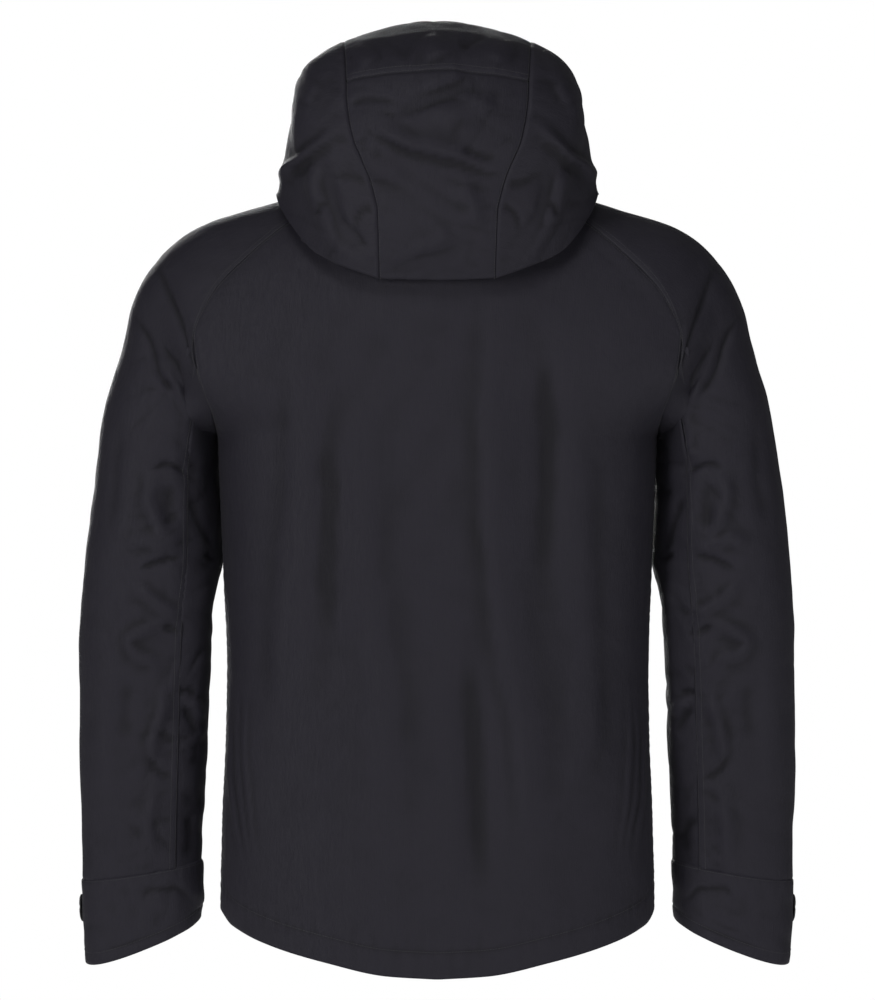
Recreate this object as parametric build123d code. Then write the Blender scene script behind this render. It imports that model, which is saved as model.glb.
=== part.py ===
from build123d import *
import math
import os

os.makedirs("parts", exist_ok=True)

# Hooded hardshell jacket, hanging as worn. Millimetres, +Z up, front faces -Y, wearer's left is +X.
# The origin is the lowest point of the dropped back hem, in the plane of symmetry.

# ---- driving dimensions ----
HEIGHT = 954.0        # dropped hem to crown of hood
HALF_WIDTH = 216.0    # half width of the body beside the hem
DEPTH = 115.0         # depth of the back from the shoulder line
SLEEVE_DEPTH = 58.0   # half depth of the upper sleeve
CLOTH = 1.2           # stands for the laminate with its tapes and seams
SEAM_GAP = 0.6        # clear gap between neighbouring panels
FRONT_SEAM_GAP = 0.016   # share of the front panel's width left clear at its side seam
SLEEVE_SEAM_GAP = 0.014  # angle left clear at the sleeve's two long seams, radians
ZIP_FOOT_Y = -128.0   # centre front at the hem
ZIP_TOP_Y = -88.0     # centre front at the chin
SLIDER_LENGTH = 17.0
BRIM_SEAM = 0.42      # share of the hood's length at which the crown panel begins
CUFF_START = 0.935    # share of the sleeve's length at which the cuff band begins
POCKET_SEAM = 0.60    # share of the half front at which the pocket seam lies
POCKET_ZIP_LOW, POCKET_ZIP_HIGH = 152.0, 328.0

SX = HALF_WIDTH / 216.0
SY = DEPTH / 115.0
SZ = HEIGHT / 954.0

# Shoulder: the outline is an arc about this pivot, which is also the hinge of the sleeve.
PIVOT_X, PIVOT_Z, CAP_RADIUS = 175.0, 621.0, 142.0
YOKE_START_Z = 560.0
ARMPIT_Z = 538.0
SHOULDER_HALF_WIDTH = 325.0
NECK_HALF_WIDTH = 108.0
RAGLAN_TOP_Z = 777.0
BACK_NECK_Z = 765.0
FRONT_NECK_Z = 706.0
CHIN_Z = 790.0

# Profiles: (height, value) at the nominal size.
BODY_WIDTH = [
    (0, 216), (76, 217), (156, 215.5), (236, 212),
    (316, 210.5), (400, 214.5), (470, 217.5), (538, 220),
]
BACK_DEPTH = [(0, 110), (240, 104), (400, 109), (560, 115), (650, 117), (780, 112)]
HEM_EDGE = [(0, 0), (50, 3), (110, 16), (170, 34), (205, 52), (217, 70)]
RAGLAN_EDGE = [
    (538, 219.5), (560, 224.5), (580, 232), (600, 238), (640, 243),
    (676, 228), (720, 188), (754, 147), (777, 108),
]


def smooth(t):
    t = min(max(t, 0.0), 1.0)
    return t * t * (3 - 2 * t)


def mix(a, b, t):
    return a + (b - a) * t


def curve(points, x):
    """Monotone cubic through a short profile, flat beyond its ends."""
    if x <= points[0][0]:
        return points[0][1]
    if x >= points[-1][0]:
        return points[-1][1]
    slopes = [(b[1] - a[1]) / (b[0] - a[0]) for a, b in zip(points, points[1:])]
    tangents = [slopes[0]]
    for left, right in zip(slopes, slopes[1:]):
        tangents.append(0.0 if left * right <= 0 else 2 * left * right / (left + right))
    tangents.append(slopes[-1])
    for i, (a, b) in enumerate(zip(points, points[1:])):
        if x <= b[0]:
            width = b[0] - a[0]
            t = (x - a[0]) / width
            start = (1 + 2 * t) * (1 - t) ** 2 * a[1] + t * (1 - t) ** 2 * width * tangents[i]
            return start + t * t * (3 - 2 * t) * b[1] + t * t * (t - 1) * width * tangents[i + 1]


def across_section(angle, corner=0.035):
    """Sideways share of a rounded section: 0 in the middle, 1 at the side."""
    return (math.sin(angle) + corner * math.sin(3 * angle)) / (1 - corner)


def deep_section(angle, corner=0.035):
    """Front-to-back share of the same section: 1 in the middle, 0 at the side."""
    return (math.cos(angle) - corner * math.cos(3 * angle)) / (1 - corner)


def angle_for(share):
    """The angle at which across_section reaches a share."""
    low, high = 0.0, math.pi / 2
    for _ in range(40):
        middle = (low + high) / 2
        if across_section(middle) < share:
            low = middle
        else:
            high = middle
    return high


# ---- surfaces ----

def zip_y(z):
    """The zip is straight from the hem to the chin."""
    return mix(ZIP_FOOT_Y, ZIP_TOP_Y, (z - 70 * SZ) / ((CHIN_Z - 70) * SZ))


def shoulder_top(x):
    """Height of the shoulder ridge at distance x from the middle."""
    x = abs(x)
    tangent_x = 214.0
    if x < tangent_x:
        return shoulder_top(tangent_x) + 0.29 * (tangent_x - x)
    return PIVOT_Z + math.sqrt(max(CAP_RADIUS ** 2 - (x - PIVOT_X) ** 2, 1.0))


def section_half_width(z):
    """Half width of the body's section, which opens out to the shoulders above the armpit."""
    return mix(curve(BODY_WIDTH, z), SHOULDER_HALF_WIDTH, smooth((z - ARMPIT_Z) / 72.0))


def front_depth(z):
    return -zip_y(z * SZ) / SY


def rounding(x, z, front):
    """How far the section has closed towards the shoulder ridge."""
    reach = shoulder_top(x) - YOKE_START_Z
    middle = 1 - smooth(abs(x) / NECK_HALF_WIDTH)
    reach += middle * (1200.0 if front else 76.0)
    part = min(max((z - YOKE_START_Z) / reach, 0.0), 1.0)
    return deep_section(angle_for(part))


def body_point(fraction, z, front):
    """fraction runs from -1 to 1 between the two side edges; z is a nominal height."""
    width = section_half_width(z)
    edge = curve(BODY_WIDTH, z) if z < ARMPIT_Z else curve(RAGLAN_EDGE, z)
    angle = fraction * angle_for(min(edge / width, 1.0))
    x = width * across_section(angle)
    depth = -front_depth(z) if front else curve(BACK_DEPTH, z)
    y = depth * deep_section(angle) * rounding(x, z, front)
    return (x * SX, y * SY, z * SZ)


def hem_height(fraction, front):
    side = curve(HEM_EDGE, 216.0 * across_section(abs(fraction) * math.pi / 2))
    return mix(70.0, 76.0, 1 - abs(fraction)) if front else side


def neck_height(fraction, front):
    start = FRONT_NECK_Z if front else BACK_NECK_Z
    return mix(start, RAGLAN_TOP_Z, abs(fraction) ** 1.6)


def back_surface(u, v):
    fraction = mix(-1, 1, u)
    return body_point(fraction, mix(hem_height(fraction, False), neck_height(fraction, False), v), False)


def pocket_seam(z):
    """The pocket seam rises straight to the armhole's height, then sweeps in to the neck."""
    if z <= ARMPIT_Z:
        return POCKET_SEAM
    straight = curve(BODY_WIDTH, ARMPIT_Z) * across_section(POCKET_SEAM * math.pi / 2)
    x = mix(straight, 90.0, ((z - ARMPIT_Z) / (RAGLAN_TOP_Z - ARMPIT_Z)) ** 1.4)
    width = section_half_width(z)
    return angle_for(x / width) / angle_for(min(curve(RAGLAN_EDGE, z) / width, 1.0))


def pocket_opening(z):
    """How far the pocket seam is spread for its zip, as a share of the front."""
    middle, half = 240.0, 126.0
    return 0.034 * smooth((half - abs(z - middle)) / 36.0)


def front_surface(side, inner, outer):
    """Front strip between two seam positions, each given as functions of height."""
    def surface(u, v):
        low = mix(inner(200), outer(200), u)
        rough = mix(hem_height(low, True), neck_height(low, True), v)
        fraction = mix(inner(rough), outer(rough), u)
        z = mix(hem_height(fraction, True), neck_height(fraction, True), v)
        return body_point(side * fraction, z, True)
    return surface


def yoke_surface(side):
    """Raglan shoulder piece, from the back seam over the ridge to the front seam."""
    seam = [(x, z) for z, x in reversed(RAGLAN_EDGE) if z >= 640]

    def surface(u, v):
        x = mix(NECK_HALF_WIDTH + SEAM_GAP, 242.4, v)
        reach = shoulder_top(x) - YOKE_START_Z
        start = angle_for((curve(seam, x) - YOKE_START_Z) / reach)
        start += SEAM_GAP / reach + 0.014
        angle = mix(start, math.pi - start, u)
        z = YOKE_START_Z + reach * across_section(angle)
        bulge = deep_section(angle_for(x / SHOULDER_HALF_WIDTH))
        depth = curve(BACK_DEPTH, z) if angle < math.pi / 2 else front_depth(z)
        y = depth * bulge * deep_section(angle)
        return (side * x * SX, y * SY, z * SZ)
    return surface


# Sleeve sections: place along the sleeve, inner end (x, z), outer end (x, z), half depth, forward shift.
SLEEVE_SECTIONS = [
    (0.00, (227.0, 552), (226.0, 747.0), 68, 7),
    (0.08, (226.5, 548), (271.0, 717), 64.5, 6),
    (0.16, (226.0, 543), (305.0, 671.5), 58, 5),
    (0.23, (225.5, 535), (317.0, 621), 59, 3),
    (0.30, (225.0, 522), (330.0, 576), 60, 1),
    (0.38, (224.2, 497), (339.5, 526), 60, -2),
    (0.48, (223.2, 460), (346.5, 470), 61, -5),
    (0.58, (222.0, 400), (353.5, 405), 58, -9),
    (0.70, (226.5, 316), (358.0, 318), 52, -16),
    (0.80, (229.5, 236), (358.0, 236), 45, -24),
    (0.90, (233.0, 146), (357.3, 138), 37, -32),
    (0.96, (234.6, 96), (356.0, 66), 32, -37),
    (1.00, (237.0, 60), (352.5, 14), 30, -40),
]


def sleeve_value(v, pick):
    return curve([(row[0], pick(row)) for row in SLEEVE_SECTIONS], v)


def sleeve_point(side, angle, v):
    """angle 0 is the outer edge, 90 degrees the back, 180 degrees the inner edge."""
    inner_x = sleeve_value(v, lambda row: row[1][0])
    inner_z = sleeve_value(v, lambda row: row[1][1])
    outer_x = sleeve_value(v, lambda row: row[2][0])
    outer_z = sleeve_value(v, lambda row: row[2][1])
    depth = sleeve_value(v, lambda row: row[3]) * SLEEVE_DEPTH / 58.0
    shift = sleeve_value(v, lambda row: row[4])
    along = 0.5 + 0.5 * deep_section(angle, 0.02)
    x = mix(inner_x, outer_x, along)
    z = mix(inner_z, outer_z, along)
    share = across_section(angle, 0.02)
    z -= 12.0 * abs(share) * smooth((v - 0.88) / 0.12)
    return (side * x * SX, (shift + depth * share) * SY, z * SZ)


SLEEVE_SEAM = math.radians(122)


def sleeve_surface(side, start, end, v0=0.0, v1=1.0):
    def surface(u, v):
        return sleeve_point(side, mix(start, end, u), mix(v0, v1, v))
    return surface


def gusset_surface(side):
    """Underarm gusset: an arc about the shoulder pivot, folded inside the body at rest."""
    def surface(u, v):
        radius = mix(84.0, 77.0, abs(2 * u - 1) ** 2)
        angle = math.radians(mix(-54.0, -92.0, v))
        x = PIVOT_X + radius * math.cos(angle)
        return (side * x * SX, mix(-34, 42, u) * SY, (PIVOT_Z + radius * math.sin(angle)) * SZ)
    return surface


def neck_ring(turn, grow=0.0):
    """Point on the neck seam; turn 0 is the centre back, 1 and -1 the centre front."""
    angle = turn * math.pi
    front = (1 - math.cos(angle)) / 2
    z = mix(767.0, FRONT_NECK_Z + 4, front ** 3) + 20 * math.sin(angle) ** 2
    y = mix(94.0 + grow, zip_y(z * SZ) / SY - grow, front) + 4 * math.sin(angle) ** 2 * (0.5 - front)
    return ((NECK_HALF_WIDTH - 3 + grow) * math.sin(angle), y, z)


def collar_surface(inset):
    """Standing collar, open at the centre front, where its edges follow the zip."""
    reach = 0.966

    def surface(u, v):
        turn = mix(-reach, reach, u)
        angle = turn * math.pi
        front = (1 - math.cos(angle)) / 2
        base = mix(767.0, FRONT_NECK_Z + 4, front ** 3) + 20 * math.sin(angle) ** 2
        z = mix(base, mix(824.0, CHIN_Z, front), v)
        half = NECK_HALF_WIDTH - 3 - inset
        back_y = (94.0 - 8 * v - inset)
        front_y = zip_y(z * SZ) / SY + inset
        y = mix(back_y, front_y, front) + 4 * math.sin(angle) ** 2 * (0.5 - front)
        return (half * (1 - 0.10 * v) * math.sin(angle) * SX, y * SY, z * SZ)
    return surface


# ---- hood ----
HOOD_FOOT_DEPTH = [
    (0, 126), (0.12, 124), (0.25, 106), (0.38, 74), (0.5, 38), (0.7, -30), (0.85, -80), (1, -112),
]
HOOD_FOOT_HEIGHT = [(0, 694), (0.12, 699), (0.25, 720), (0.38, 758), (0.5, 781), (0.7, 780), (1, 750)]
HOOD_SIDE_REACH = 60.0
HOOD_PROFILE = [
    (-34, 126, 694), (-12, 139, 722), (15, 146, 770), (40, 146, 826), (66, 137, 876), (92, 108, 922),
    (120, 62, 946), (150, 4, 954), (182, -58, 950), (212, -112, 937), (236, -146, 922),
]
HOOD_CROWNING = [(-34, 4), (30, 8), (100, 20), (236, 20)]
HOOD_STRIP = [(-34, 58), (10, 60), (26, 68), (44, 84), (70, 91), (236, 95)]


def hood_profile(place):
    y = curve([(s, y) for s, y, _ in HOOD_PROFILE], place)
    z = curve([(s, z) for s, _, z in HOOD_PROFILE], place)
    return y, z


def hood_strip_point(across, place):
    y, z = hood_profile(place)
    y2, z2 = hood_profile(place + 2)
    y1, z1 = hood_profile(place - 2)
    length = math.hypot(y2 - y1, z2 - z1)
    drop = curve(HOOD_CROWNING, place) * across * across
    x = across * curve(HOOD_STRIP, place)
    return (x, y - drop * (z1 - z2) / -length, z - drop * (y1 - y2) / length)


def hood_centre_surface(u, v):
    x, y, z = hood_strip_point(mix(-1, 1, u), mix(-34, 236, v))
    return (x * SX, y * SY, z * SZ)


def bag_line(turn):
    """Lowest fold of the hood; turn 0 is the centre back, 1 the front at the left of the chin."""
    angle = turn * math.pi
    x = 161.0 * across_section(angle, 0.02) if turn < 0.5 else mix(161.0, 112.0, smooth(turn * 2 - 1))
    y = curve(HOOD_FOOT_DEPTH, turn)
    z = curve(HOOD_FOOT_HEIGHT, turn)
    return (x, y, z)


def hood_side_surface(side):
    corner = 0.30
    nape = 0.118
    seam_share = SEAM_GAP / HOOD_SIDE_REACH

    def top_edge(u):
        return hood_strip_point(1.0, mix(-34, 236, u))

    def bottom_edge(u):
        return bag_line(mix(corner, 1.0, u))

    def back_edge(v):
        start, end = top_edge(0), bottom_edge(0)
        point = bag_line(mix(nape, corner, v))
        base, final = bag_line(nape), bag_line(corner)
        return tuple(p + mix(s - b, e - f, v) for p, s, e, b, f in zip(point, start, end, base, final))

    def face_edge(v):
        start, end = top_edge(1), bottom_edge(1)
        bow = math.sin(math.pi * v)
        x = mix(start[0], end[0], v) + 10 * bow
        y = mix(start[1], end[1], v) + 16 * bow
        return (x, y, mix(start[2], end[2], v))

    def surface(u, v):
        v = mix(seam_share, 1.0, v)
        top, bottom, back, face = top_edge(u), bottom_edge(u), back_edge(v), face_edge(v)
        corners = (top_edge(0), top_edge(1), bottom_edge(0), bottom_edge(1))
        point = []
        for i in range(3):
            ruled = mix(top[i], bottom[i], v) + mix(back[i], face[i], u)
            ruled -= mix(mix(corners[0][i], corners[1][i], u), mix(corners[2][i], corners[3][i], u), v)
            point.append(ruled)
        swell = 0.86 * max(math.sin(math.pi * v ** 0.65), 0) ** 1.4
        swell += 0.34 * max(math.sin(math.pi * min(v / 0.5, 1)), 0) ** 1.2
        bulge = swell * (0.25 + 0.75 * max(math.sin(math.pi * min(u * 1.15, 1)), 0) ** 0.8)
        return (side * (point[0] + 21 * bulge) * SX, point[1] * SY, (point[2] + 14 * bulge) * SZ)
    return surface


def hood_base_surface(side):
    """The hood folds under along its lowest line and runs back in to the neck seam."""
    def surface(u, v):
        turn = mix(0.004, 0.62, u)
        outer = bag_line(turn)
        inner = neck_ring(turn, 5.0)
        front = (1 - math.cos(turn * math.pi)) / 2
        lift = 7.0 + 12.0 * front
        shrink = 1 - 9.0 / math.hypot(outer[0], outer[1])
        start = (outer[0] * shrink, outer[1] * shrink, outer[2] + 3.0)
        return (side * mix(start[0], inner[0], v) * SX, mix(start[1], inner[1], v) * SY,
                mix(start[2], inner[2] + lift, v) * SZ)
    return surface


# ---- turning surfaces into solids ----

def normal_at(surface, u, v, toward):
    step = 1e-3
    a = Vector(*surface(min(u + step, 1), v)) - Vector(*surface(max(u - step, 0), v))
    b = Vector(*surface(u, min(v + step, 1))) - Vector(*surface(u, max(v - step, 0)))
    normal = a.cross(b).normalized()
    return normal if normal.dot(Vector(*surface(u, v)) - Vector(*toward)) > 0 else normal * -1


def offset(surface, distance, toward):
    """A surface moved along its own normals, away from the point toward if distance is positive."""
    def moved(u, v):
        point = Vector(*surface(u, v)) + normal_at(surface, u, v, toward) * distance
        return (point.X, point.Y, point.Z)
    return moved


def window(surface, u0, u1, v0, v1):
    return lambda u, v: surface(mix(u0, u1, u), mix(v0, v1, v))


def grid_face(surface, columns, rows):
    grid = [[surface(i / columns, j / rows) for j in range(rows + 1)] for i in range(columns + 1)]
    return Face.make_surface_from_array_of_points(grid, tol=0.1, smoothing=(1, 1, 1), max_deg=6)


def sheet(surface, columns, rows, toward, thickness=CLOTH):
    """Closed solid of cloth whose outer face is the surface and whose thickness runs inwards."""
    outer = grid_face(surface, columns, rows)
    inner = grid_face(offset(surface, -thickness, toward), columns, rows)
    faces = [outer, inner]
    for edge in outer.edges():
        partner = min(inner.edges(), key=lambda other: (other.center() - edge.center()).length)
        faces.append(Face.make_surface_from_curves(edge, partner))
    solid = Solid(Shell(faces))
    return solid.fix()


def write(name, *solids):
    shape = solids[0] if len(solids) == 1 else Compound(children=list(solids))
    shape.label = name
    export_step(shape, f"parts/{name}.step")


SIDES = (("left", 1), ("right", -1))
HEART = (0.0, 0.0, 420.0 * SZ)
ZIP_EDGE = 0.028      # the front panels stop this share of the half front short of the zip


def make_body():
    write("back_panel", sheet(window(back_surface, 0.0023, 0.9977, 0, 1), 22, 30, HEART))
    for name, side in SIDES:
        outer = lambda z: pocket_seam(z) - FRONT_SEAM_GAP - pocket_opening(z)
        front = front_surface(side, lambda z: ZIP_EDGE, outer)
        write(f"front_panel_{name}", sheet(front, 14, 46, HEART))
        flank = front_surface(side, lambda z: pocket_seam(z) + pocket_opening(z), lambda z: 0.9955)
        write(f"side_panel_{name}", sheet(flank, 10, 46, HEART))
        shoulder = (side * 150.0 * SX, 0.0, 600.0 * SZ)
        write(f"shoulder_yoke_{name}", sheet(yoke_surface(side), 18, 12, shoulder))


def make_sleeves():
    for name, side in SIDES:
        middle = (side * 255.0 * SX, 5.0 * SY, ARMPIT_Z * SZ)
        upper = sleeve_surface(side, -SLEEVE_SEAM, SLEEVE_SEAM, 0, CUFF_START - 0.001)
        first = SLEEVE_SEAM + SLEEVE_SEAM_GAP
        under = sleeve_surface(side, first, 2 * math.pi - first, 0, CUFF_START - 0.001)
        write(f"sleeve_upper_{name}", sheet(upper, 26, 30, middle))
        write(f"sleeve_under_{name}", sheet(under, 14, 30, middle))
        pivot = (side * PIVOT_X, 0, PIVOT_Z)
        write(f"underarm_gusset_{name}", sheet(gusset_surface(side), 8, 10, pivot, 0.8))


def make_hood():
    core = (0.0, 0.0, 830.0 * SZ)
    gap = SEAM_GAP / 2 / 440
    write("hood_centre_panel", sheet(window(hood_centre_surface, 0, 1, 0, BRIM_SEAM - gap), 10, 20, core))
    write("hood_crown_panel", sheet(window(hood_centre_surface, 0, 1, BRIM_SEAM + gap, 1), 10, 24, core))
    brim = window(hood_centre_surface, 0.06, 0.94, 0.80, 0.945)
    write("brim_stiffener", sheet(offset(brim, -2.2, core), 8, 8, core, 1.0))
    facing = [offset(window(hood_centre_surface, 0.02, 0.98, 0.955, 0.995), -2.0, core)]
    for _, side in SIDES:
        strip = window(hood_side_surface(side), 0.955, 0.995, 0.03, 0.97)
        facing.append(offset(strip, -2.0, core))
    write("hood_facing", *[sheet(strip, 6, 12, core, 0.8) for strip in facing])
    for name, side in SIDES:
        write(f"hood_side_{name}", sheet(hood_side_surface(side), 26, 16, core))
        write(f"hood_base_{name}", sheet(hood_base_surface(side), 26, 6, (0, 0, 3000 * SZ)))


def make_collar():
    core = (0.0, 0.0, 780.0 * SZ)
    write("collar", sheet(collar_surface(0.0), 32, 6, core))
    write("collar_facing", sheet(collar_surface(3.8), 32, 6, core, 0.8))


def make_cuffs():
    for name, side in SIDES:
        middle = (side * 295.0 * SX, -38.0 * SY, 60.0 * SZ)
        band = sleeve_surface(side, math.radians(181), math.radians(539), CUFF_START, 1.0)
        write(f"cuff_band_{name}", sheet(band, 30, 6, middle, 1.6))
        tab = sleeve_surface(side, math.radians(-108), math.radians(-8), 0.947, 0.968)
        write(f"cuff_tab_{name}", sheet(offset(tab, 3.2, middle), 14, 4, middle, 1.4))
        inset = window(tab, 0.35, 0.94, 0.12, 0.88)
        write(f"cuff_hook_patch_{name}", sheet(offset(inset, 1.7, middle), 10, 3, middle, 0.35))
        patch = offset(window(tab, 0.25, 0.97, 0.0, 1.0), 1.0, middle)
        write(f"cuff_loop_patch_{name}", sheet(patch, 10, 3, middle, 0.7))


def side_strip(side):
    """Tape over the side seam, inside."""
    def surface(u, v):
        z = mix(112.0, 505.0, v)
        turn = mix(-0.11, 0.11, u)
        width = curve(BODY_WIDTH, z)
        depth = front_depth(z) if turn > 0 else curve(BACK_DEPTH, z)
        angle = math.pi / 2 - abs(turn)
        y = -math.copysign(depth * deep_section(angle), turn)
        return (side * (width * across_section(angle) - 1.9) * SX, y * SY, z * SZ)
    return surface


def make_linings():
    """Facings, tapes, patches and the hanger loop, all on the inside."""
    deep = 2.0
    back = window(back_surface, 0.01, 0.99, 0.004, 0.04)
    strips = [back]
    for _, side in SIDES:
        front = front_surface(side, lambda z: 0.075, lambda z: 0.985)
        strips.append(window(front, 0, 1, 0.006, 0.042))
    facings = [sheet(offset(strip, -deep, HEART), 20, 5, HEART, 0.8) for strip in strips]
    write("hem_facing", *facings)
    write("side_seam_tape", *[sheet(side_strip(side), 8, 12, HEART, 0.4) for _, side in SIDES])
    patch = window(back_surface, 0.45, 0.55, 0.925, 0.965)
    write("neck_patch", sheet(offset(patch, -deep, HEART), 6, 6, HEART, 0.8))
    rings = []
    for _, side in SIDES:
        strip = offset(front_surface(side, lambda z: 0.86, lambda z: 0.9), -5.0, HEART)
        spot = Vector(*strip(0.5, 0.024))
        out = Vector(spot.X, spot.Y, 0).normalized()
        ring = Cylinder(4.5, 2.0) - Cylinder(2.2, 2.0)
        rings.append(Plane(origin=spot, z_dir=out).location * ring)
    write("hem_eyelets", *[ring.solid() for ring in rings])
    loop = Cylinder(19, 6) - Cylinder(17.8, 6)
    loop = loop & Pos(0, 9.5, 0) * Box(38, 19, 6)
    place = Plane(origin=(0, 80.0 * SY, 742.0 * SZ), x_dir=(1, 0, 0), z_dir=(0, -1, 0.28))
    write("hanger_loop", (place.location * loop).solid())
    for name, side in SIDES:
        panel = front_surface(side, lambda z: 0.34, lambda z: 0.90)

        def dish(u, v, panel=panel):
            share = smooth(min(1, 2.4 * math.sin(math.pi * u))) * smooth(min(1, 2.4 * math.sin(math.pi * v)))
            return offset(panel, -2.2 - 15.0 * share, HEART)(u, mix(0.055, 0.42, v))
        write(f"pocket_bag_{name}", sheet(dish, 18, 18, HEART, 0.8))


# ---- zips ----

class Zip:
    """A straight zip. Local z runs up it, local x across it and local -y outwards."""

    def __init__(self, start, end, outward, coil_radius, coil_y, tape_y, tape_width):
        along = (Vector(*end) - Vector(*start)).normalized()
        self.start, self.along = Vector(*start), along
        self.length = (Vector(*end) - Vector(*start)).length
        self.across = (Vector(*outward) * -1).cross(along).normalized()
        self.coil_radius, self.coil_y = coil_radius, coil_y
        self.tape_y, self.tape_width = tape_y, tape_width
        self.coil_x = coil_radius + 1.2

    def put(self, shape, distance):
        plane = Plane(origin=self.start + self.along * distance, x_dir=self.across, z_dir=self.along)
        return plane.location * shape

    def bar(self, x, y, z):
        """Box given by its two limits on each local axis."""
        return Pos(sum(x) / 2, sum(y) / 2, sum(z) / 2) * Box(x[1] - x[0], y[1] - y[0], z[1] - z[0])

    def coil(self, sign, low, high):
        rod = Pos(sign * self.coil_x, self.coil_y, (low + high) / 2) * Cylinder(self.coil_radius, high - low)
        return self.put(rod, 0).solid()

    def tape(self, sign, low, high):
        near = self.coil_x + self.coil_radius + 0.3
        limits = sorted((sign * near, sign * (near + self.tape_width)))
        return self.put(self.bar(limits, self.tape_y, (low, high)), 0).solid()

    def slider(self, distance):
        half, reach = SLIDER_LENGTH / 2, self.coil_x + self.coil_radius + 1.4
        top, low = self.coil_y - self.coil_radius - 0.5, self.coil_y + self.coil_radius + 0.6
        low = max(low, self.tape_y[1] + 0.5)
        body = self.bar((-reach, reach), (top - 1.6, top), (-half, half))
        body += self.bar((-reach, reach), (low, low + 1.5), (-half, half))
        for sign in (1, -1):
            wall = sorted((sign * (reach - 1.0), sign * reach))
            body += self.bar(wall, (top, self.tape_y[0] - 0.4), (-half, half))
        body += self.bar((-0.7, 0.7), (top, low), (half - 5, half))
        lug = self.bar((-1.6, 1.6), (top - 4.9, top - 1.6), (-5, 5))
        lug -= self.bar((-1.6, 1.6), (top - 3.7, top - 1.6), (-3.4, 3.4))
        return self.put(body + lug, distance).solid()

    def pull_axis_y(self):
        return self.coil_y - self.coil_radius - 0.5 - 2.65

    def pull(self, distance, length):
        y = self.pull_axis_y()
        shape = Pos(0, y, 0) * Rot(0, 90, 0) * Cylinder(0.7, 7.6)
        for sign in (1, -1):
            leg = sorted((sign * 2.3, sign * 3.8))
            shape += self.bar(leg, (y - 0.75, y + 0.75), (-9.5, 0.7))
        shape += self.bar((-3.8, 3.8), (y - 0.75, y + 0.75), (-length, -9.5))
        return self.put(shape, distance).solid()


MAIN_LOW, MAIN_HIGH = 14.0, 712.0


def main_zip():
    start, end = (0, zip_y(70.0 * SZ), 70.0 * SZ), (0, zip_y(CHIN_Z * SZ), CHIN_Z * SZ)
    return Zip(start, end, (0, -1, 0), 1.5, 1.2, (2.2, 2.8), 9.0)


def pocket_zip(side):
    low = body_point(side * POCKET_SEAM, POCKET_ZIP_LOW, True)
    high = body_point(side * POCKET_SEAM, POCKET_ZIP_HIGH, True)
    ahead = Vector(*body_point(side * (POCKET_SEAM + 0.01), 240.0, True))
    behind = Vector(*body_point(side * (POCKET_SEAM - 0.01), 240.0, True))
    along = (Vector(*high) - Vector(*low)).normalized()
    outward = (ahead - behind).cross(along)
    if outward.Y > 0:
        outward = outward * -1
    return Zip(low, high, tuple(outward.normalized()), 1.2, 2.4, (3.9, 4.4), 7.0)


def make_zips():
    front = main_zip()
    high = MAIN_HIGH * SZ
    for name, sign in SIDES:
        write(f"main_zip_coil_{name}", front.coil(sign, MAIN_LOW, high))
        write(f"main_zip_tape_{name}", front.tape(sign, 6, high + 4))
    write("main_zip_box", front.put(front.bar((-4.4, -0.8), (-0.4, 2.8), (4, MAIN_LOW - 0.6)), 0).solid())
    write("main_zip_pin", front.put(front.bar((0.8, 4.4), (0.0, 2.4), (4, MAIN_LOW - 0.6)), 0).solid())
    stops = []
    for s in (1, -1):
        bar = front.bar(sorted((s * 1.3, s * 4.2)), (-0.2, 2.6), (high + 0.6, high + 3.0))
        stops.append(front.put(bar, 0))
    write("main_zip_top_stops", *[stop.solid() for stop in stops])
    write("main_zip_slider", front.slider(high - SLIDER_LENGTH / 2 - 1))
    write("main_zip_pull", front.pull(high - SLIDER_LENGTH / 2 - 1, 36.0))
    write("storm_flap", front.put(front.bar((-19, 21), (7.4, 8.2), (4, high - 58)), 0).solid())
    write("chin_guard", front.put(front.bar((-15, 17), (7.2, 8.6), (high - 56, high + 6)), 0).solid())
    for name, side in SIDES:
        hand = pocket_zip(side)
        length = hand.length
        write(f"pocket_zip_coil_{name}", hand.coil(1, 4, length - 4), hand.coil(-1, 4, length - 4))
        write(f"pocket_zip_tape_{name}", hand.tape(1, 0, length), hand.tape(-1, 0, length))
        write(f"pocket_slider_{name}", hand.slider(length - 4 - SLIDER_LENGTH / 2))
        write(f"pocket_pull_{name}", hand.pull(length - 4 - SLIDER_LENGTH / 2, 30.0))


make_body()
make_sleeves()
make_cuffs()
make_hood()
make_collar()
make_linings()
make_zips()
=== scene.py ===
import math
import bpy
import numpy as np
from mathutils import Matrix, Vector


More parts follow.
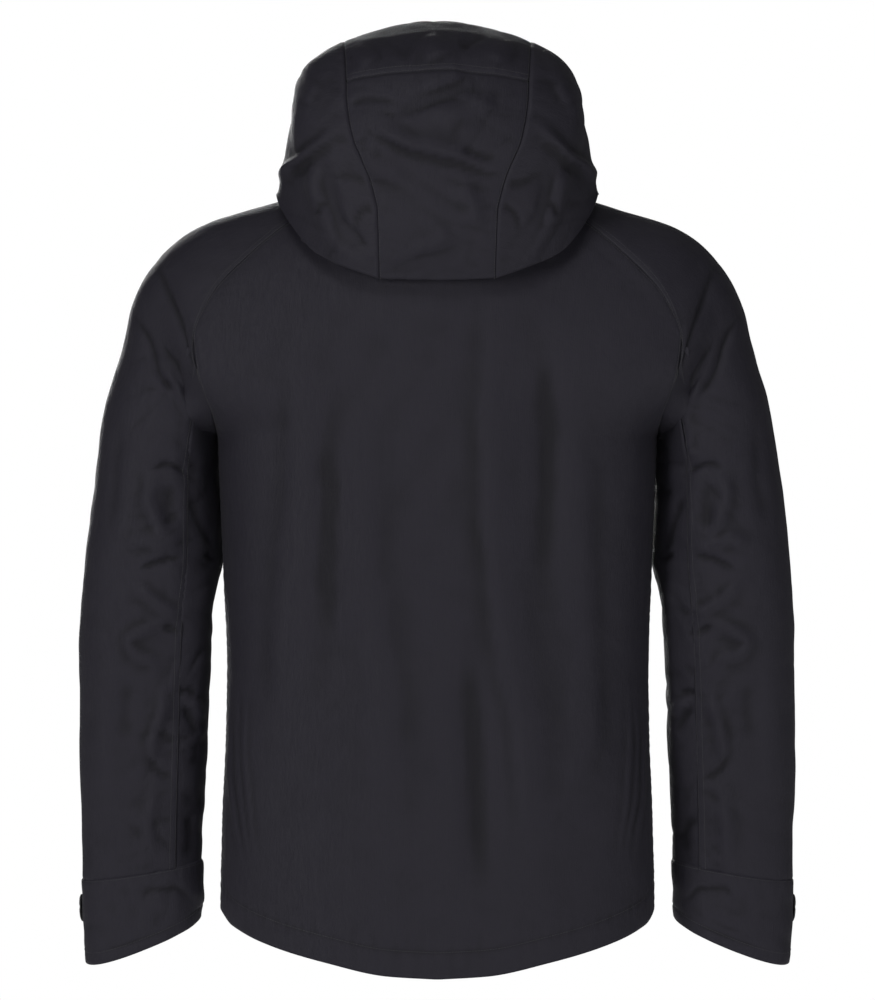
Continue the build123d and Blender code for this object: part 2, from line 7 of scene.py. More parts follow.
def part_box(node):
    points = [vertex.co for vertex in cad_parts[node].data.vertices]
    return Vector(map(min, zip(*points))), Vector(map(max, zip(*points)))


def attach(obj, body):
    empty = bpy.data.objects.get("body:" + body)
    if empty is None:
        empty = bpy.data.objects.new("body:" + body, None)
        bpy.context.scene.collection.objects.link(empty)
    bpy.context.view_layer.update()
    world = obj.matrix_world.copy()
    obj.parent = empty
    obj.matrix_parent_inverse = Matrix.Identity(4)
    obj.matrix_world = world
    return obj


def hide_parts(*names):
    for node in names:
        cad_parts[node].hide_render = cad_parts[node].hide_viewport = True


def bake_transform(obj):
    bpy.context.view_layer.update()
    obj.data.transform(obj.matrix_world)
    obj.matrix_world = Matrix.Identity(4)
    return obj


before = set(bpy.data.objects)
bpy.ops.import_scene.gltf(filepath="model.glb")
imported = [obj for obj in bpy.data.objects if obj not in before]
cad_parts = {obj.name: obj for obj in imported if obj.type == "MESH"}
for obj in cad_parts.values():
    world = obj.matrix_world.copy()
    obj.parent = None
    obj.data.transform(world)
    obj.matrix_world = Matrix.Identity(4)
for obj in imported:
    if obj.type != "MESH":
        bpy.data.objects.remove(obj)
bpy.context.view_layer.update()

# ---- Camera, floor and light ----
# A studio shot of the jacket's back: a long lens level with its middle, a pale floor well below,
# and large soft lights to both sides and above.
camera = bpy.data.objects.new("camera", bpy.data.cameras.new("camera"))
camera.data.lens = 504.0
camera.data.sensor_width = 36.0
camera.location = (0.0, 14.0, 0.476)
camera.rotation_euler = (math.radians(90), 0.0, math.radians(180))
bpy.context.scene.collection.objects.link(camera)
bpy.context.scene.camera = camera
bpy.context.scene.view_settings.view_transform = "Standard"

floor_mesh = bpy.data.meshes.new("floor")
turns = [2 * math.pi * i / 64 for i in range(64)]
floor_mesh.from_pydata([(4.2 * math.cos(t), 4.2 * math.sin(t), -0.6) for t in turns], [], [list(range(64))])
floor = bpy.data.objects.new("floor", floor_mesh)
bpy.context.scene.collection.objects.link(floor)
paint = bpy.data.materials.new("pale floor")
paint.use_nodes = True
paint.node_tree.nodes["Principled BSDF"].inputs["Base Color"].default_value = (0.86, 0.86, 0.87, 1)
paint.node_tree.nodes["Principled BSDF"].inputs["Roughness"].default_value = 0.8
paint.node_tree.nodes["Principled BSDF"].inputs["Emission Color"].default_value = (1, 1, 1, 1)
paint.node_tree.nodes["Principled BSDF"].inputs["Emission Strength"].default_value = 0.32
floor_mesh.materials.append(paint)


def softbox(name, place, aim, size, power):
    light = bpy.data.lights.new(name, "AREA")
    light.shape = "RECTANGLE"
    light.size, light.size_y = size
    light.energy = power
    lamp = bpy.data.objects.new(name, light)
    lamp.location = place
    lamp.rotation_euler = (Vector(aim) - Vector(place)).to_track_quat("-Z", "Y").to_euler()
    bpy.context.scene.collection.objects.link(lamp)


softbox("left softbox", (2.6, 3.4, 1.3), (0, 0, 0.45), (1.0, 1.7), 80)
softbox("right softbox", (-2.4, 2.6, 0.5), (0, 0, 0.45), (0.9, 1.8), 27)
softbox("top softbox", (0.3, 1.6, 2.9), (0, 0, 0.5), (1.4, 0.9), 22)
softbox("far side fill", (0.6, -3.2, 1.2), (0, 0, 0.45), (1.6, 1.6), 58)
world = bpy.data.worlds.new("studio")
world.use_nodes = True
bpy.context.scene.world = world
sky = world.node_tree.nodes["Background"]
sky.inputs["Color"].default_value = (1, 1, 1, 1)
seen = world.node_tree.nodes.new("ShaderNodeLightPath")
level = world.node_tree.nodes.new("ShaderNodeMapRange")
level.inputs["To Min"].default_value = 0.05
level.inputs["To Max"].default_value = 1.0
world.node_tree.links.new(seen.outputs["Is Camera Ray"], level.inputs["Value"])
world.node_tree.links.new(level.outputs["Result"], sky.inputs["Strength"])


# ---- Back panel ----
# One large piece of waterproof laminate, a plain-weave nylon face on a membrane, hanging from the
# raglan seams. It is sewn to the side panels and the shoulders and turned up along the dropped hem.
PIVOT_X, PIVOT_Z, CAP_RADIUS = 0.175, 0.621, 0.142
YOKE_START, ARMPIT, RAGLAN_TOP = 0.560, 0.538, 0.777
CHIN, NECK_HALF = 0.790, 0.108
HEART = np.array([0.0, 0.0, 0.42])
BODY_WIDTH = [(0, .216), (.076, .217), (.156, .2155), (.236, .212), (.316, .2105), (.4, .2145),
              (.47, .2175), (.538, .22)]
BACK_DEPTH = [(0, .110), (.24, .104), (.4, .109), (.56, .115), (.65, .117), (.78, .112)]
HEM_EDGE = [(0, 0), (.05, .003), (.11, .016), (.17, .034), (.205, .052), (.217, .070)]
RAGLAN_EDGE = [(.538, .220), (.56, .2245), (.58, .232), (.6, .238), (.64, .243), (.676, .228), (.72, .188),
               (.754, .147), (.777, .108)]


def mix(a, b, t):
    return a + (b - a) * t


def smooth(t):
    t = np.clip(t, 0.0, 1.0)
    return t * t * (3 - 2 * t)


def curve(points, x):
    """Monotone cubic through a short profile, flat beyond its ends."""
    px, py = np.array(points, float).T
    slope = np.diff(py) / np.diff(px)
    before, after = slope[:-1], slope[1:]
    same = before * after > 0
    tangent = np.concatenate(([slope[0]],
                              np.where(same, 2 * before * after / np.where(same, before + after, 1), 0),
                              [slope[-1]]))
    x = np.clip(x, px[0], px[-1])
    i = np.clip(np.searchsorted(px, x, side="right") - 1, 0, len(slope) - 1)
    width = px[i + 1] - px[i]
    t = (x - px[i]) / width
    start = (1 + 2 * t) * (1 - t) ** 2 * py[i] + t * (1 - t) ** 2 * width * tangent[i]
    return start + t * t * (3 - 2 * t) * py[i + 1] + t * t * (t - 1) * width * tangent[i + 1]


def across(angle, corner=0.035):
    return (np.sin(angle) + corner * np.sin(3 * angle)) / (1 - corner)


def deep(angle, corner=0.035):
    return (np.cos(angle) - corner * np.cos(3 * angle)) / (1 - corner)


def angle_for(share):
    angles = np.linspace(0, math.pi / 2, 2001)
    return np.interp(share, across(angles), angles)


def zip_y(z):
    return mix(-0.128, -0.088, (z - 0.070) / (CHIN - 0.070))


def shoulder_top(x):
    reach = np.maximum(np.abs(x), 0.214)
    arc = PIVOT_Z + np.sqrt(np.maximum(CAP_RADIUS ** 2 - (reach - PIVOT_X) ** 2, 1e-6))
    return arc + 0.29 * (reach - np.abs(x))


def spread_angle(fraction, edge):
    """Angle round the body at a fraction of the panel's half width; edge is its rim's share of the width."""
    missing = np.maximum(math.pi / 2 - angle_for(np.minimum(edge, 1.0)), 1e-4)
    pull = np.abs(fraction) ** np.clip(1.33 / missing, 1, 6)
    return fraction * math.pi / 2 - missing * np.sign(fraction) * pull


def solve(rising, target):
    """The fraction from 0 to 1 at which a rising function reaches its target."""
    low, high = np.zeros_like(target), np.ones_like(target)
    for _ in range(24):
        middle = (low + high) / 2
        short = rising(middle) < target
        low, high = np.where(short, middle, low), np.where(short, high, middle)
    return high


def body_point(fraction, z, front):
    """A point of the body's surface; fraction runs from -1 to 1 between the side edges."""
    width = mix(curve(BODY_WIDTH, z), 0.325, smooth((z - ARMPIT) / 0.072))
    edge = np.where(z < ARMPIT, curve(BODY_WIDTH, z), curve(RAGLAN_EDGE, z))
    angle = spread_angle(fraction, edge / width)
    x = width * across(angle)
    depth = zip_y(z) if front else curve(BACK_DEPTH, z)
    reach = shoulder_top(x) - YOKE_START + (1 - smooth(np.abs(x) / NECK_HALF)) * (1.2 if front else 0.076)
    closing = deep(angle_for(np.clip((z - YOKE_START) / reach, 0, 1)))
    return np.stack([x, depth * deep(angle) * closing, z], -1)


def hem_height(fraction, front):
    if front:
        return mix(0.070, 0.076, 1 - np.abs(fraction))
    return curve(HEM_EDGE, 0.216 * across(np.abs(fraction) * math.pi / 2))


def neck_height(fraction, front):
    return mix(0.706 if front else 0.765, RAGLAN_TOP, np.abs(fraction) ** 1.6)


def grid(columns, rows, u0=0.0, u1=1.0, v0=0.0, v1=1.0):
    return np.meshgrid(np.linspace(u0, u1, columns), np.linspace(v0, v1, rows), indexing="ij")


def normals(points, ring=False):
    """Unit normals of a grid of points."""
    if ring:
        along = np.roll(points, -1, 0) - np.roll(points, 1, 0)
    else:
        along = np.gradient(points, axis=0)
    normal = np.cross(along, np.gradient(points, axis=1))
    return normal / np.maximum(np.linalg.norm(normal, axis=-1, keepdims=True), 1e-12)


def lengths(points, axis):
    """Distance run along one way of the grid, from its first line."""
    step = np.linalg.norm(np.diff(points, axis=axis), axis=-1)
    first = np.zeros_like(np.take(step, [0], axis=axis))
    return np.cumsum(np.concatenate([first, step], axis=axis), axis=axis)


def ripple(points, seed, wavelength, height):
    """Gentle unevenness: a dozen plane waves with seeded directions and phases."""
    rng = np.random.default_rng(seed)
    total = np.zeros(points.shape[:-1])
    for _ in range(12):
        way = rng.normal(size=3)
        way *= 2 * math.pi / (wavelength * rng.uniform(0.7, 1.5)) / np.linalg.norm(way)
        total += np.sin(points @ way + rng.uniform(0, 2 * math.pi))
    return total * height / 12 ** 0.5


def folds(points, table, seed=1, weight=1.0):
    """Folds and creases. Each row: height mm, width mm, softness (1 sharp, 2 round), lean, points (x, z)."""
    x = points[..., 0] + ripple(points, seed, 0.05, 0.0011)
    z = points[..., 2] + ripple(points, seed + 1, 0.05, 0.0011)
    total = np.zeros_like(x)
    for height, width, power, lean, route in table:
        width = width / 1000
        route = np.array(route, float)
        place = np.linspace(0, len(route) - 1, 8 * (len(route) - 1) + 1)
        knots = list(range(len(route)))
        path = np.stack([curve(list(zip(knots, route[:, k])), place) for k in (0, 1)], -1)
        low, high = path.min(0) - 4 * width, path.max(0) + 4 * width
        near = (x > low[0]) & (x < high[0]) & (z > low[1]) & (z < high[1])
        if not near.any():
            continue
        px, pz = x[near], z[near]
        best, side, share = np.full(px.shape, 9.0), np.zeros(px.shape), np.zeros(px.shape)
        for k, (a, b) in enumerate(zip(path[:-1], path[1:])):
            d = b - a
            t = np.clip(((px - a[0]) * d[0] + (pz - a[1]) * d[1]) / (d @ d), 0, 1)
            ox, oz = px - a[0] - t * d[0], pz - a[1] - t * d[1]
            gap = np.hypot(ox, oz)
            closer = gap < best
            best = np.where(closer, gap, best)
            side = np.where(closer, np.sign(ox * d[1] - oz * d[0]), side)
            share = np.where(closer, (k + t) / (len(path) - 1), share)
        ends = smooth(share / 0.3) * smooth((1 - share) / 0.3)
        wide = width * (1 + lean * side)
        total[near] += height / 1000 * (0.15 + 0.85 * ends) * np.exp(-(best / wide) ** power)
    return total * weight


def seam(distance, along, depth=0.0008, pucker=0.0004):
    """The dip along a sewn edge and the small puckers that the thread pulls into the cloth beside it."""
    wave = np.sin(along / 0.0105 * 2 * math.pi + 1.7 * np.sin(along / 0.043 * 2 * math.pi))
    ditch = -depth * np.exp(-(distance / 0.0022) ** 2)
    return ditch + pucker * wave * np.exp(-distance / 0.009) * smooth(distance / 0.003)


def crumple(points, seed, wavelength, height):
    """Sharp-bottomed creases that cross and fade, as in cloth that has been bent over and over."""
    rng = np.random.default_rng(seed)
    warp = [ripple(points, seed + k, wavelength * 2.5, wavelength * 0.35) for k in (1, 2)]
    total = np.zeros(points.shape[:-1])
    for count in range(5):
        lean = math.radians(rng.uniform(-75, 75))
        k = math.pi / (wavelength * rng.uniform(0.7, 1.6))
        run = (points[..., 0] + warp[0]) * math.sin(lean) + (points[..., 2] + warp[1]) * math.cos(lean)
        fade = smooth(ripple(points, seed + 10 + count, wavelength * 2.2, 1.0) + 0.35)
        total += fade * (np.abs(np.sin(run * k + rng.uniform(0, 9))) ** 0.75 - 0.7)
    return total * height / 5 ** 0.5


skins = {}


def cloth(name, base, lift, heart, thickness=0.0011, ring=False, up=1):
    """A closed skin of cloth from a grid of points and how far each stands out; up=-1 faces the heart."""
    normal = normals(base, ring)
    turned = ((base - heart) * normal).sum() * up < 0
    if turned:
        normal = -normal
    outer = base + normal * np.broadcast_to(lift, base.shape[:2])[..., None]
    inner = outer - normal * thickness
    nu, nv = base.shape[:2]
    count = nu * nv
    index = np.arange(count).reshape(nu, nv)
    closed = np.vstack([index, index[:1]]) if ring else index
    a, b, c, d = closed[:-1, :-1], closed[1:, :-1], closed[1:, 1:], closed[:-1, 1:]
    face = np.stack([a, b, c, d], -1).reshape(-1, 4)
    rims = [(closed[:-1, 0], closed[1:, 0]), (closed[1:, -1], closed[:-1, -1])]
    if not ring:
        rims += [(closed[-1, :-1], closed[-1, 1:]), (closed[0, 1:], closed[0, :-1])]
    rim = np.concatenate([np.stack([q, p, p + count, q + count], -1) for p, q in rims])
    faces = np.concatenate([face, face[:, ::-1] + count, rim])
    if turned:
        faces = faces[:, ::-1]
    mesh = bpy.data.meshes.new(name)
    mesh.from_pydata(np.concatenate([outer.reshape(-1, 3), inner.reshape(-1, 3)]).tolist(), [],
                     faces.tolist())
    wrapped = np.concatenate([base, base[:1]]) if ring else base
    u, v = lengths(wrapped, 0), lengths(wrapped, 1)
    u = u - u[len(u) // 2]
    mu, mv = len(wrapped), nv
    flat_index = np.arange(mu * mv).reshape(mu, mv)
    a, b, c, d = flat_index[:-1, :-1], flat_index[1:, :-1], flat_index[1:, 1:], flat_index[:-1, 1:]
    corner = np.stack([a, b, c, d], -1).reshape(-1, 4)
    flat_rims = [(flat_index[:-1, 0], flat_index[1:, 0]), (flat_index[1:, -1], flat_index[:-1, -1])]
    if not ring:
        flat_rims += [(flat_index[-1, :-1], flat_index[-1, 1:]), (flat_index[0, 1:], flat_index[0, :-1])]
    flat_rim = np.concatenate([np.stack([q, p, p, q], -1) for p, q in flat_rims])
    corners = np.concatenate([corner, corner[:, ::-1], flat_rim])
    if turned:
        corners = corners[:, ::-1]
    place = np.stack([u.ravel(), v.ravel()], -1)[corners.ravel()]
    mesh.uv_layers.new(name="UVMap").data.foreach_set("uv", place.ravel().astype(np.float32))
    lift = np.broadcast_to(lift, base.shape[:2])
    # Painted shade mask: where the lift sits below its blurred surroundings, the laminate darkens the colour as if
    # shade fell in the crease.
    blur = lift.copy()
    for _ in range(6):
        blur = (blur + np.roll(blur, 1, 0) + np.roll(blur, -1, 0) + np.roll(blur, 1, 1) + np.roll(blur, -1,
                                                                                                  1)) / 5
    painted_crease_shade = np.clip((blur - lift) / 0.0007, 0, 1)
    painted_crease_shade[:2], painted_crease_shade[-2:], painted_crease_shade[:, :2], painted_crease_shade[:, -2:] = 0, 0, 0, 0
    layer = mesh.attributes.new("painted_crease_shade", "FLOAT", "POINT")
    layer.data.foreach_set("value", np.concatenate([painted_crease_shade.ravel(), np.zeros(count)]).astype(np.float32))
    mesh.shade_smooth()
    piece = bpy.data.objects.new(name, mesh)
    bpy.context.scene.collection.objects.link(piece)
    skins[name] = outer, normal, u, v
    return piece


class Wire:
    """A socket of a material's node tree, so that sums of sockets read as sums."""

    def __init__(self, tree, socket=None):
        self.tree, self.socket = tree, socket

    def node(self, kind, settings=None, output=0, **links):
        made = self.tree.nodes.new(kind)
        for key, value in (settings or {}).items():
            setattr(made, key, value)
        for key, value in links.items():
            target = made.inputs[int(key[1:]) if key[0] == "i" and key[1:].isdigit() else key.replace("_", " ")]
            if isinstance(value, Wire):
                self.tree.links.new(value.socket, target)
            else:
                target.default_value = value
        return Wire(self.tree, made.outputs[output])

    def maths(self, operation, first, second=0.0):
        return self.node("ShaderNodeMath", {"operation": operation}, i0=first, i1=second)

    def __add__(self, other):
        return self.maths("ADD", self, other)

    __radd__ = __add__

    def __mul__(self, other):
        return self.maths("MULTIPLY", self, other)

    __rmul__ = __mul__

    def __sub__(self, other):
        return self.maths("SUBTRACT", self, other)

    def __rsub__(self, other):
        return self.maths("SUBTRACT", other, self)

    def __truediv__(self, other):
        return self.maths("DIVIDE", self, other)

    def __rtruediv__(self, other):
        return self.maths("DIVIDE", other, self)

    def sine(self):
        return self.maths("SINE", self)

    def shade(self, dark, light):
        """A colour between two, by this socket from 0 to 1."""
        made = self.tree.nodes.new("ShaderNodeMix")
        made.data_type = "RGBA"
        for socket, value in ((made.inputs[6], dark), (made.inputs[7], light)):
            if isinstance(value, Wire):
                self.tree.links.new(value.socket, socket)
            else:
                socket.default_value = (*value, 1.0)
        self.tree.links.new(self.socket, made.inputs[0])
        return Wire(self.tree, made.outputs[2])


def start_material(name, **constants):
    """A Principled material with its constants set; returns it, a wire to build from and the shader."""
    material = bpy.data.materials.new(name)
    material.use_nodes = True
    shader = material.node_tree.nodes["Principled BSDF"]
    for key, value in constants.items():
        shader.inputs[key.replace("_", " ")].default_value = value
    return material, Wire(material.node_tree), shader


def finish_material(wire, shader, colour=None, roughness=None, height=None, distance=0.0002, strength=1.0):
    for name, value in (("Base Color", colour), ("Roughness", roughness)):
        if value is not None:
            wire.tree.links.new(value.socket, shader.inputs[name])
    if height is not None:
        bump = wire.node("ShaderNodeBump", Height=height, Distance=distance, Strength=strength)
        wire.tree.links.new(bump.socket, shader.inputs["Normal"])


def laminate(name, colour, rough=0.55, sheen=0.03, thread=0.0011):
    """Matt woven laminate: fine upright threads, faint slubs, soft blotches, and painted shade that darkens the
    colour in the creases.
    """
    material, wire, shader = start_material(name, Sheen_Weight=sheen, Sheen_Roughness=0.45)
    shader.inputs["Specular IOR Level"].default_value = 0.17
    uv = wire.node("ShaderNodeTexCoord", output="UV")
    split = wire.node("ShaderNodeSeparateXYZ", i0=uv)
    sideways = split
    upwards = Wire(wire.tree, split.socket.node.outputs[1])
    fine = 2 * math.pi / thread
    weave = (sideways * fine).sine() * 0.6 + (upwards * (fine * 1.3)).sine() * 0.3
    stretched = wire.node("ShaderNodeMapping", Vector=uv, Scale=(1100.0, 70.0, 1.0))
    slub = wire.node("ShaderNodeTexNoise", Vector=stretched, Scale=1.0, Detail=3.0, Roughness=0.6)
    place = wire.node("ShaderNodeTexCoord", output="Object")
    blotch = wire.node("ShaderNodeTexNoise", Vector=place, Scale=9.0, Detail=4.0, Roughness=0.55)
    crumple = wire.node("ShaderNodeTexNoise", Vector=place, Scale=55.0, Detail=5.0, Roughness=0.6)
    painted_crease_shade = wire.node("ShaderNodeAttribute", {"attribute_name": "painted_crease_shade"}, output="Fac")
    light = tuple(c * 1.22 for c in colour)
    dark = tuple(c * 0.80 for c in colour)
    tone = slub * 0.55 + blotch * 0.45 + weave * 0.10
    # Painted shade: where the crease mask is high, the colour falls towards a third of its own.
    face = (painted_crease_shade * 0.75).shade(tone.shade(dark, light), tuple(c * 0.35 for c in colour))
    finish_material(wire, shader, face, blotch * 0.16 + slub * 0.08 + (rough - 0.12),
                    weave * 0.20 + slub * 0.9 + crumple * 2.2, distance=0.00045)
    return material


shell = laminate("shell laminate", (0.0163, 0.0150, 0.0216))
backer = laminate("knit backer", (0.030, 0.030, 0.034), rough=0.8, sheen=0.25, thread=0.0016)


def dress(piece, material, body, *nodes, slot="shell"):
    """Gives a piece its material and its body and hides the CAD nodes that it stands for; the slot argument is not
    used.
    """
    piece.data.materials.append(material)
    if body:
        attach(piece, body)
    if nodes:
        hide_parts(*nodes)


BACK_FOLDS = [
    (3.4, 19, 2, 0.25, [(.132, .646), (.137, .496), (.152, .336), (.152, .216)]),
    (3.0, 21, 2, -0.2, [(.077, .556), (.072, .416), (.052, .276), (.047, .126)]),
    (3.6, 18, 2, 0.3, [(-.058, .676), (-.053, .526), (-.063, .376), (-.088, .216), (-.093, .116)]),
    (-3.0, 15, 2, 0, [(-.103, .626), (-.111, .526), (-.103, .376)]),
    (3.2, 18, 2, -0.3, [(-.138, .576), (-.143, .416), (-.153, .256), (-.123, .176)]),
    (-3.2, 16, 2, 0, [(-.028, .336), (-.038, .216), (-.043, .076)]),
    (-2.8, 14, 2, 0, [(.107, .556), (.112, .326)]),
]
for mirror in (1, -1):
    for inset in (0.0, 0.0078, 0.0150):
        rise = 1.5 - inset * 20
        BACK_FOLDS.append((rise, 2.8, 2, 0,
                           [(mirror * (.2085 - inset), .290), (mirror * (.2055 - inset), .196),
                                             (mirror * (.1965 - inset), .116)]))

u, v = grid(140, 232)
fraction = mix(-1, 1, u)
base = body_point(fraction, mix(hem_height(fraction, False), neck_height(fraction, False), v), False)
left, low = lengths(base, 0), lengths(base, 1)
right, high = left[-1] - left, low[:, -1:] - low
lift = 1.45 * folds(base, BACK_FOLDS, 11) + crumple(base, 61, 0.05, 0.00035)
lift += ripple(base, 3, 0.16, 0.0014) + ripple(base, 4, 0.045, 0.00022)
lift *= smooth(np.minimum(left, right) / 0.02) * 0.8 + 0.2
lift += seam(left, low) + seam(right, low) + seam(high, left) + seam(np.abs(low - 0.027), left, 0.0007,
                                                                     0.0005)
back_panel = cloth("back_panel_cloth", base, lift, HEART)
dress(back_panel, shell, "torso", "back_panel")


# ---- Front and side panels ----
# The front is cut in two panels on each side, a centre one beside the zip and a side one, sewn to each
# other along a seam that holds the hand pocket's zip and then sweeps in to the neck.
def pocket_seam(z):
    x = mix(0.22 * across(0.60 * math.pi / 2), 0.090,
            np.clip((z - ARMPIT) / (RAGLAN_TOP - ARMPIT), 0, 1) ** 1.4)
    width = mix(curve(BODY_WIDTH, z), 0.325, smooth((z - ARMPIT) / 0.072))
    swept = solve(lambda share: spread_angle(share, curve(RAGLAN_EDGE, z) / width), angle_for(x / width))
    return np.where(z <= ARMPIT, 0.60, swept)


def pocket_opening(z):
    return 0.034 * smooth((0.126 - np.abs(z - 0.240)) / 0.036)


def front_strip(side, inner, outer, u, v):
    start = mix(inner(np.full_like(u, 0.2)), outer(np.full_like(u, 0.2)), u)
    rough = mix(hem_height(start, True), neck_height(start, True), v)
    fraction = mix(inner(rough), outer(rough), u)
    z = mix(hem_height(fraction, True), neck_height(fraction, True), v)
    return body_point(side * fraction, z, True)


FRONT_FOLDS = [
    (2.6, 17, 2, 0.2, [(.052, .610), (.060, .470), (.055, .330), (.062, .200)]),
    (-2.4, 13, 2, 0, [(.085, .560), (.088, .430), (.080, .300)]),
    (3.0, 16, 2, -0.2, [(.118, .640), (.112, .520), (.118, .400)]),
    (2.4, 14, 2, 0, [(.178, .520), (.182, .420), (.176, .300)]),
    (-2.0, 12, 2, 0, [(.160, .470), (.158, .350)]),
    (-2.0, 10, 1.6, 0, [(.110, .700), (.132, .650), (.150, .590)]),
    (1.6, 9, 2, 0, [(.040, .190), (.070, .150), (.110, .135)]),
]
for name, side in (("left", 1), ("right", -1)):
    table = [(h, w, p, lean, [(side * x, z + 0.006 * side) for x, z in route]) for h, w, p, lean,
             route in FRONT_FOLDS]
    for kind, inner, outer, flat, area in (
            ("front_panel", lambda z: np.full_like(z, 0.028), lambda z: pocket_seam(z) - pocket_opening(z),
             (0.195, 0.70), 0.107),
            ("side_panel", lambda z: pocket_seam(z) + pocket_opening(z), lambda z: np.ones_like(z),
             (0.095, 0.80), 0.053)):
        u, v = grid(46, 220)
        base = front_strip(side, inner, outer, u, v)
        left, low = lengths(base, 0), lengths(base, 1)
        right, high = left[-1] - left, low[:, -1:] - low
        lift = 1.3 * folds(base, table, 21) + crumple(base, 61, 0.05, 0.0005)
        lift += ripple(base, 3, 0.16, 0.0014) + ripple(base, 4, 0.045, 0.00022)
        lift *= smooth(np.minimum(left, right) / 0.02) * 0.85 + 0.15
        lift += seam(left, low) + seam(right, low) + seam(high, left) + seam(np.abs(low - 0.027), left,
                                                                             0.0007, 0.0005)
        panel = cloth(f"{kind}_cloth_{name}", base, lift, HEART)
        dress(panel, shell, "torso", f"{kind}_{name}")


# ---- Raglan sleeves ----
# The upper sleeve and the shoulder are one piece of laminate that runs from the neck over the shoulder
# and down to the cuff. A narrower under panel closes it, sewn along two seams down the inner arm.
SLEEVE_SECTIONS = [
    (0.00, .227, .552, .226, .747, .068, .007), (0.08, .2265, .548, .271, .717, .0645, .006),
    (0.16, .226, .543, .305, .6715, .058, .005), (0.23, .2255, .535, .317, .621, .059, .003),
    (0.30, .225, .522, .330, .576, .060, .001), (0.38, .2242, .497, .3395, .526, .060, -.002),
    (0.48, .2232, .460, .3465, .470, .061, -.005), (0.58, .222, .400, .3535, .405, .058, -.009),
    (0.70, .2265, .316, .358, .318, .052, -.016), (0.80, .2295, .236, .358, .236, .045, -.024),
    (0.90, .233, .146, .3573, .138, .037, -.032), (0.96, .2346, .096, .356, .066, .032, -.037),
    (1.00, .237, .060, .3525, .014, .030, -.040)]
SLEEVE_SEAM = math.radians(122)
CUFF_START = 0.935


def sleeve_point(side, angle, v):
    """angle 0 is the sleeve's outer edge, a quarter turn its back, a half turn its inner edge."""
    inner_x, inner_z, outer_x, outer_z, depth, shift = (
        curve([(row[0], row[k]) for row in SLEEVE_SECTIONS], v) for k in range(1, 7))
    along = 0.5 + 0.5 * deep(angle, 0.02)
    x, z = mix(inner_x, outer_x, along), mix(inner_z, outer_z, along)
    y = shift + depth * across(angle, 0.02)
    lean = smooth((0.34 - along) / 0.34) * smooth((z - 0.365) / 0.06) * smooth((0.62 - z) / 0.05)
    z = z - 0.012 * np.abs(across(angle, 0.02)) * smooth((v - 0.88) / 0.12)
    return np.stack([side * (x - 0.0088 * lean), y - 0.024 * lean, z], -1)


def yoke_point(side, u, v):
    """The shoulder piece, from the back raglan seam over the ridge to the front one."""
    line = [(x, z) for z, x in reversed(RAGLAN_EDGE) if z >= 0.64]
    x = mix(NECK_HALF, 0.2424, v)
    reach = shoulder_top(x) - YOKE_START
    start = angle_for((curve(line, x) - YOKE_START) / reach)
    angle = mix(start, math.pi - start, u)
    z = YOKE_START + reach * across(angle)
    depth = np.where(angle < math.pi / 2, curve(BACK_DEPTH, z), -zip_y(z))
    return np.stack([side * x, depth * deep(angle_for(x / 0.325)) * deep(angle), z], -1)


def raglan_grid(side):
    """Shoulder rows, then rows that turn about the shoulder's pivot, then sleeve rows down to the cuff."""
    columns = 112
    u, v = grid(columns, 46)
    shoulder = yoke_point(side, u, v)
    u, v = grid(columns, 196, v0=0.16, v1=CUFF_START + 0.002)
    arm = sleeve_point(side, mix(SLEEVE_SEAM, -SLEEVE_SEAM, u), v)
    start, end = shoulder[:, -1], arm[:, 0]

    def polar(points):
        x, z = side * points[..., 0] - PIVOT_X, points[..., 2] - PIVOT_Z
        return np.arctan2(z, x), np.hypot(x, z)
    (turn_a, reach_a), (turn_b, reach_b) = polar(start), polar(end)
    share = np.linspace(0, 1, 26)[1:-1]
    turn = mix(turn_a[:, None], turn_b[:, None], share)
    reach = mix(reach_a[:, None], reach_b[:, None], share)
    y = mix(start[:, 1, None], end[:, 1, None], smooth(share))
    x, z = PIVOT_X + reach * np.cos(turn), PIVOT_Z + reach * np.sin(turn)
    shift = smooth((1 - share) / 0.5)
    rows = np.stack([side * x, y, z], -1)
    near = smooth((0.24 - grid(columns, len(share))[0]) / 0.24)
    for weight, row, front in ((near, 0, False), (near[::-1], -1, True)):
        seam_line = body_point(side * np.ones_like(share), np.minimum(z[row], 0.64), front)
        rows = rows + weight[..., None] * ((seam_line - rows[row]) * shift[:, None])[None]
    points = np.concatenate([shoulder, rows, arm], 1)
    for _ in range(7):
        points[:, 1:-1] = (points[:, :-2] + 2 * points[:, 1:-1] + points[:, 2:]) / 4
    return points


